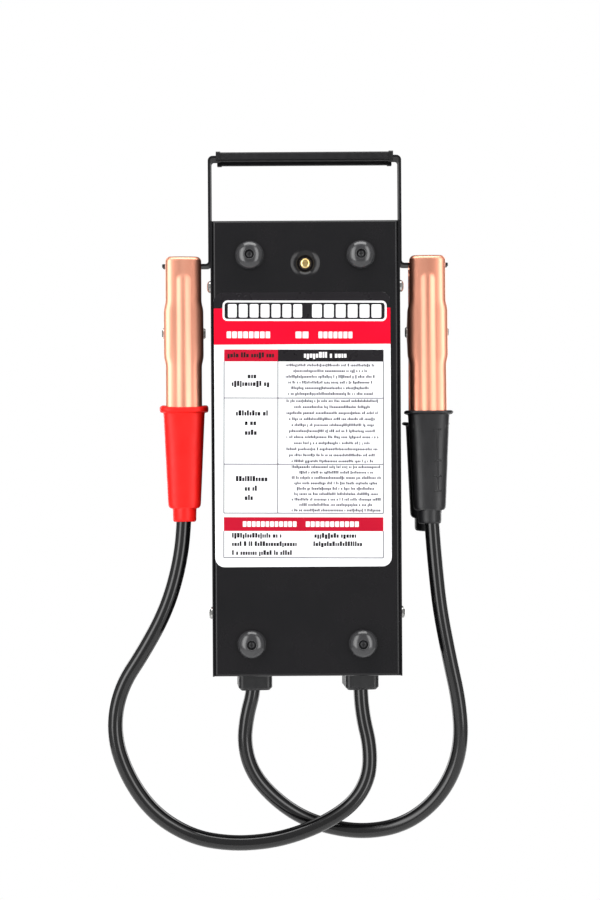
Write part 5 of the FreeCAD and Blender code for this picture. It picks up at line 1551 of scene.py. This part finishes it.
    def foot(self, run: PrintRun) -> None:
        """Lower red band and the frame under it.

        Args:
            run: The print that it goes to.
        """
        run.bars(Ink.DARK_RED, [(self.left, self.foot_top, self.right, self.foot_bottom)],
                 self.first_lift)
        self.capitals(run, self.foot_blocks, self.second_lift)
        frame_lines = self.rules((self.frame_bottom,), (self.left, self.right), self.foot_bottom,
                                 self.frame_bottom)
        run.bars(Ink.GREY, frame_lines, self.first_lift)
        for seed, line in enumerate(self.foot_lines, self.foot_seed):
            run.words(Ink.BLACK, line, self.foot_letter, seed, self.second_lift)

    def build(self, stock: Stock) -> None:
        """Print the bands straight, and the rest a little turned as the sticker is.

        Args:
            stock: The finishes.
        """
        edges = PrintRun(self.bed)
        self.bands(edges)
        edges.build(stock)
        run = PrintRun(self.table_bed)
        self.title(run)
        self.table(run)
        self.foot(run)
        run.build(stock)


@dataclass
class FrontLabel:
    """Print of the plate under the meter: dark field, white frame and bars for low, weak and good.

    The field and the frame's outlines are an inset and a corner radius, a swatch is left, right,
    height and corner radius, and a line is millimetres down, right end, how much shorter the next
    row's is, and seed.
    """

    bed: PrintBed = PrintBed("front_label_print", (46.0, 32.2, -141.0), False, "sticker")
    wide: float = 92.0
    high: float = 46.0
    field_edge: tuple[float, float] = (0.4, 2.6)
    frame_outer: tuple[float, float] = (2.0, 2.0)
    frame_inner: tuple[float, float] = (2.5, 1.5)
    first_row: float = 6.5
    row_pitch: float = 12.0
    swatch: tuple[float, float, float, float] = (7.0, 25.0, 8.5, 1.2)
    words_left: float = 30.0
    letter: float = 1.8
    lines: tuple = ((2.4, 84.0, 6.0, 500), (6.4, 78.0, 9.0, 510))
    field_lift: float = 0.03
    print_lift: float = 0.06

    def outline(self, inset: float, corner: float) -> np.ndarray:
        """The plate's rounded outline at an inset from its edge."""
        return rounded(inset, inset, self.wide - inset, self.high - inset, corner)

    def build(self, stock: Stock) -> None:
        """Print the plate.

        Args:
            stock: The finishes.
        """
        run = PrintRun(self.bed)
        run.slab(Ink.BLACK, self.outline(*self.field_edge), self.field_lift)
        run.ring(Ink.WHITE, self.outline(*self.frame_outer), self.outline(*self.frame_inner),
                 self.print_lift)
        left, right, high, corner = self.swatch
        for row, ink in enumerate((Ink.RED, Ink.AMBER, Ink.GREEN)):
            top = self.first_row + self.row_pitch * row
            run.slab(ink, rounded(left, top, right, top + high, corner), self.print_lift)
            for down, end, shorter, seed in self.lines:
                line = (top + down, self.words_left, end - shorter * row)
                run.words(Ink.WHITE, line, self.letter, seed + row, self.print_lift)
        run.build(stock)


def sector(radius: float, inner: float, first: float, last: float, centre: tuple[float, float],
           steps: int = 48) -> np.ndarray:
    """Outline of a band between two radii from one angle to another, measured from straight up.

    Args:
        radius, inner: Outer and inner radius.
        first, last: Angles in degrees, rising to the reader's right.
        centre: The centre, across and down.
        steps: Points along each arc.

    Returns:
        Points by two, against the clock as a reader sees it.
    """
    turn = np.radians(np.linspace(first, last, steps))
    out = np.stack([np.sin(turn), -np.cos(turn)], -1)
    return np.concatenate([out[::-1] * radius, out * inner]) + np.array(centre)


@dataclass
class MeterFace:
    """Print of the meter's dial: scale arc, ticks, plain numbers and three coloured bands.

    A tick is its outer radius and half its width in degrees, and a row of bands is outer and inner
    radius and the angles where its three inks start and end.
    """

    bed: PrintBed = PrintBed("dial_print", (43.7, 34.8, -58.3), False, "dial_white")
    pivot: tuple[float, float] = (43.7, 55.7)
    half_turn: float = 45.0
    scale_radius: float = 40.0
    scale_wide: float = 0.5
    scale_half_turn: float = 45.6
    steps: int = 40
    steps_to_long: int = 5
    long_tick: tuple[float, float] = (45.0, 0.42)
    short_tick: tuple[float, float] = (42.6, 0.26)
    band_rows: tuple = ((37.5, 33.0, (-45, 0, 12, 45)), (31.0, 27.5, (-45, 8, 18, 45)))
    line_lift: float = 0.08
    band_lift: float = 0.05
    marks: int = 8
    top_number: int = 16
    number_radius: float = 47.5
    number_high: float = 4.6
    number_thick: float = 0.04

    def tick_marks(self, run: PrintRun) -> None:
        """Long marks at each fifth step and short ones between, as narrow sectors.

        Args:
            run: The print that it goes to.
        """
        for step in range(self.steps + 1):
            angle = -self.half_turn + 2 * self.half_turn * step / self.steps
            reach, half = self.short_tick if step % self.steps_to_long else self.long_tick
            tick = sector(reach, self.scale_radius, angle - half, angle + half, self.pivot, 3)
            run.slab(Ink.BLACK, tick, self.line_lift)

    def number_mesh(self, words: str) -> bpy.types.Mesh:
        """Make a mesh of a plain number, flat and about the origin.

        Args:
            words: The number's digits.

        Returns:
            The mesh, with no material.
        """
        text = bpy.data.curves.new("dial_number", "FONT")
        text.body = words
        text.size = self.number_high * MM
        text.align_x = "CENTER"
        text.align_y = "CENTER"
        text.extrude = self.number_thick * MM
        holder = bpy.data.objects.new("dial_number", text)
        bpy.context.scene.collection.objects.link(holder)
        bpy.context.view_layer.update()
        shaped = holder.evaluated_get(bpy.context.evaluated_depsgraph_get())
        mesh = bpy.data.meshes.new_from_object(shaped)
        bpy.data.objects.remove(holder)
        mesh.materials.clear()
        return mesh

    def numbers(self, stock: Stock) -> None:
        """Plain numbers from zero up, each turned to stand on the arc and to face the reader.

        Args:
            stock: The finishes.
        """
        facing = Matrix(((-1, 0, 0, 0), (0, 0, 1, 0), (0, 1, 0, 0), (0, 0, 0, 1)))
        for mark in range(self.marks + 1):
            angle = math.radians(-self.half_turn + 2 * self.half_turn * mark / self.marks)
            mesh = self.number_mesh(str(self.top_number * mark // self.marks))
            flat = np.array([[self.pivot[0] + self.number_radius * math.sin(angle),
                              self.pivot[1] - self.number_radius * math.cos(angle)]])
            spot = Vector(self.bed.place(flat, self.band_lift)[0])
            mesh.transform(Matrix.Translation(spot) @ facing @ Matrix.Rotation(-angle, 4, "Z"))
            piece = bpy.data.objects.new("dial_number_%d" % mark, mesh)
            bpy.context.scene.collection.objects.link(piece)
            stock.dress(piece, Ink.BLACK.value)
            adopt(piece, ROOT_BODY, "dial_white")

    def build(self, stock: Stock) -> None:
        """Print arc, bands, marks and numbers.

        Args:
            stock: The finishes.
        """
        run = PrintRun(self.bed)
        arc = sector(self.scale_radius, self.scale_radius - self.scale_wide, -self.scale_half_turn,
                     self.scale_half_turn, self.pivot)
        run.slab(Ink.BLACK, arc, self.line_lift)
        for outer, inner, ends in self.band_rows:
            for ink, first, last in zip((Ink.RED, Ink.AMBER, Ink.GREEN), ends, ends[1:]):
                run.slab(ink, sector(outer, inner, first, last, self.pivot), self.band_lift)
        self.tick_marks(run)
        run.build(stock)
        self.numbers(stock)


def main() -> None:
    """Build the studio and the pieces in order."""
    logging.basicConfig(level=logging.INFO, format="%(message)s")
    Studio().build()
    stock = Stock()
    for entry in frame["record"]["subparts"]:
        piece = frame["nodes"][entry["node"]]
        slot = entry["material_slot"]
        stock.dress(piece, FINISH_OF_SLOT.get(slot, slot))
        LOG.info("%s has its finish", piece.name)
    for side, route in LEAD_ROUTES.items():
        Lead(side, route).build(stock)
        for front in (True, False):
            Boot(side, front).build(stock)
            ClampHalf(side, front).build(stock)
        Spring(side).build(stock)
    BootScale(Boot(Side.BLACK, True)).build(stock)
    Feet().build(stock)
    RearLabel().build(stock)
    FrontLabel().build(stock)
    MeterFace().build(stock)


if __name__ == "__main__":
    main()
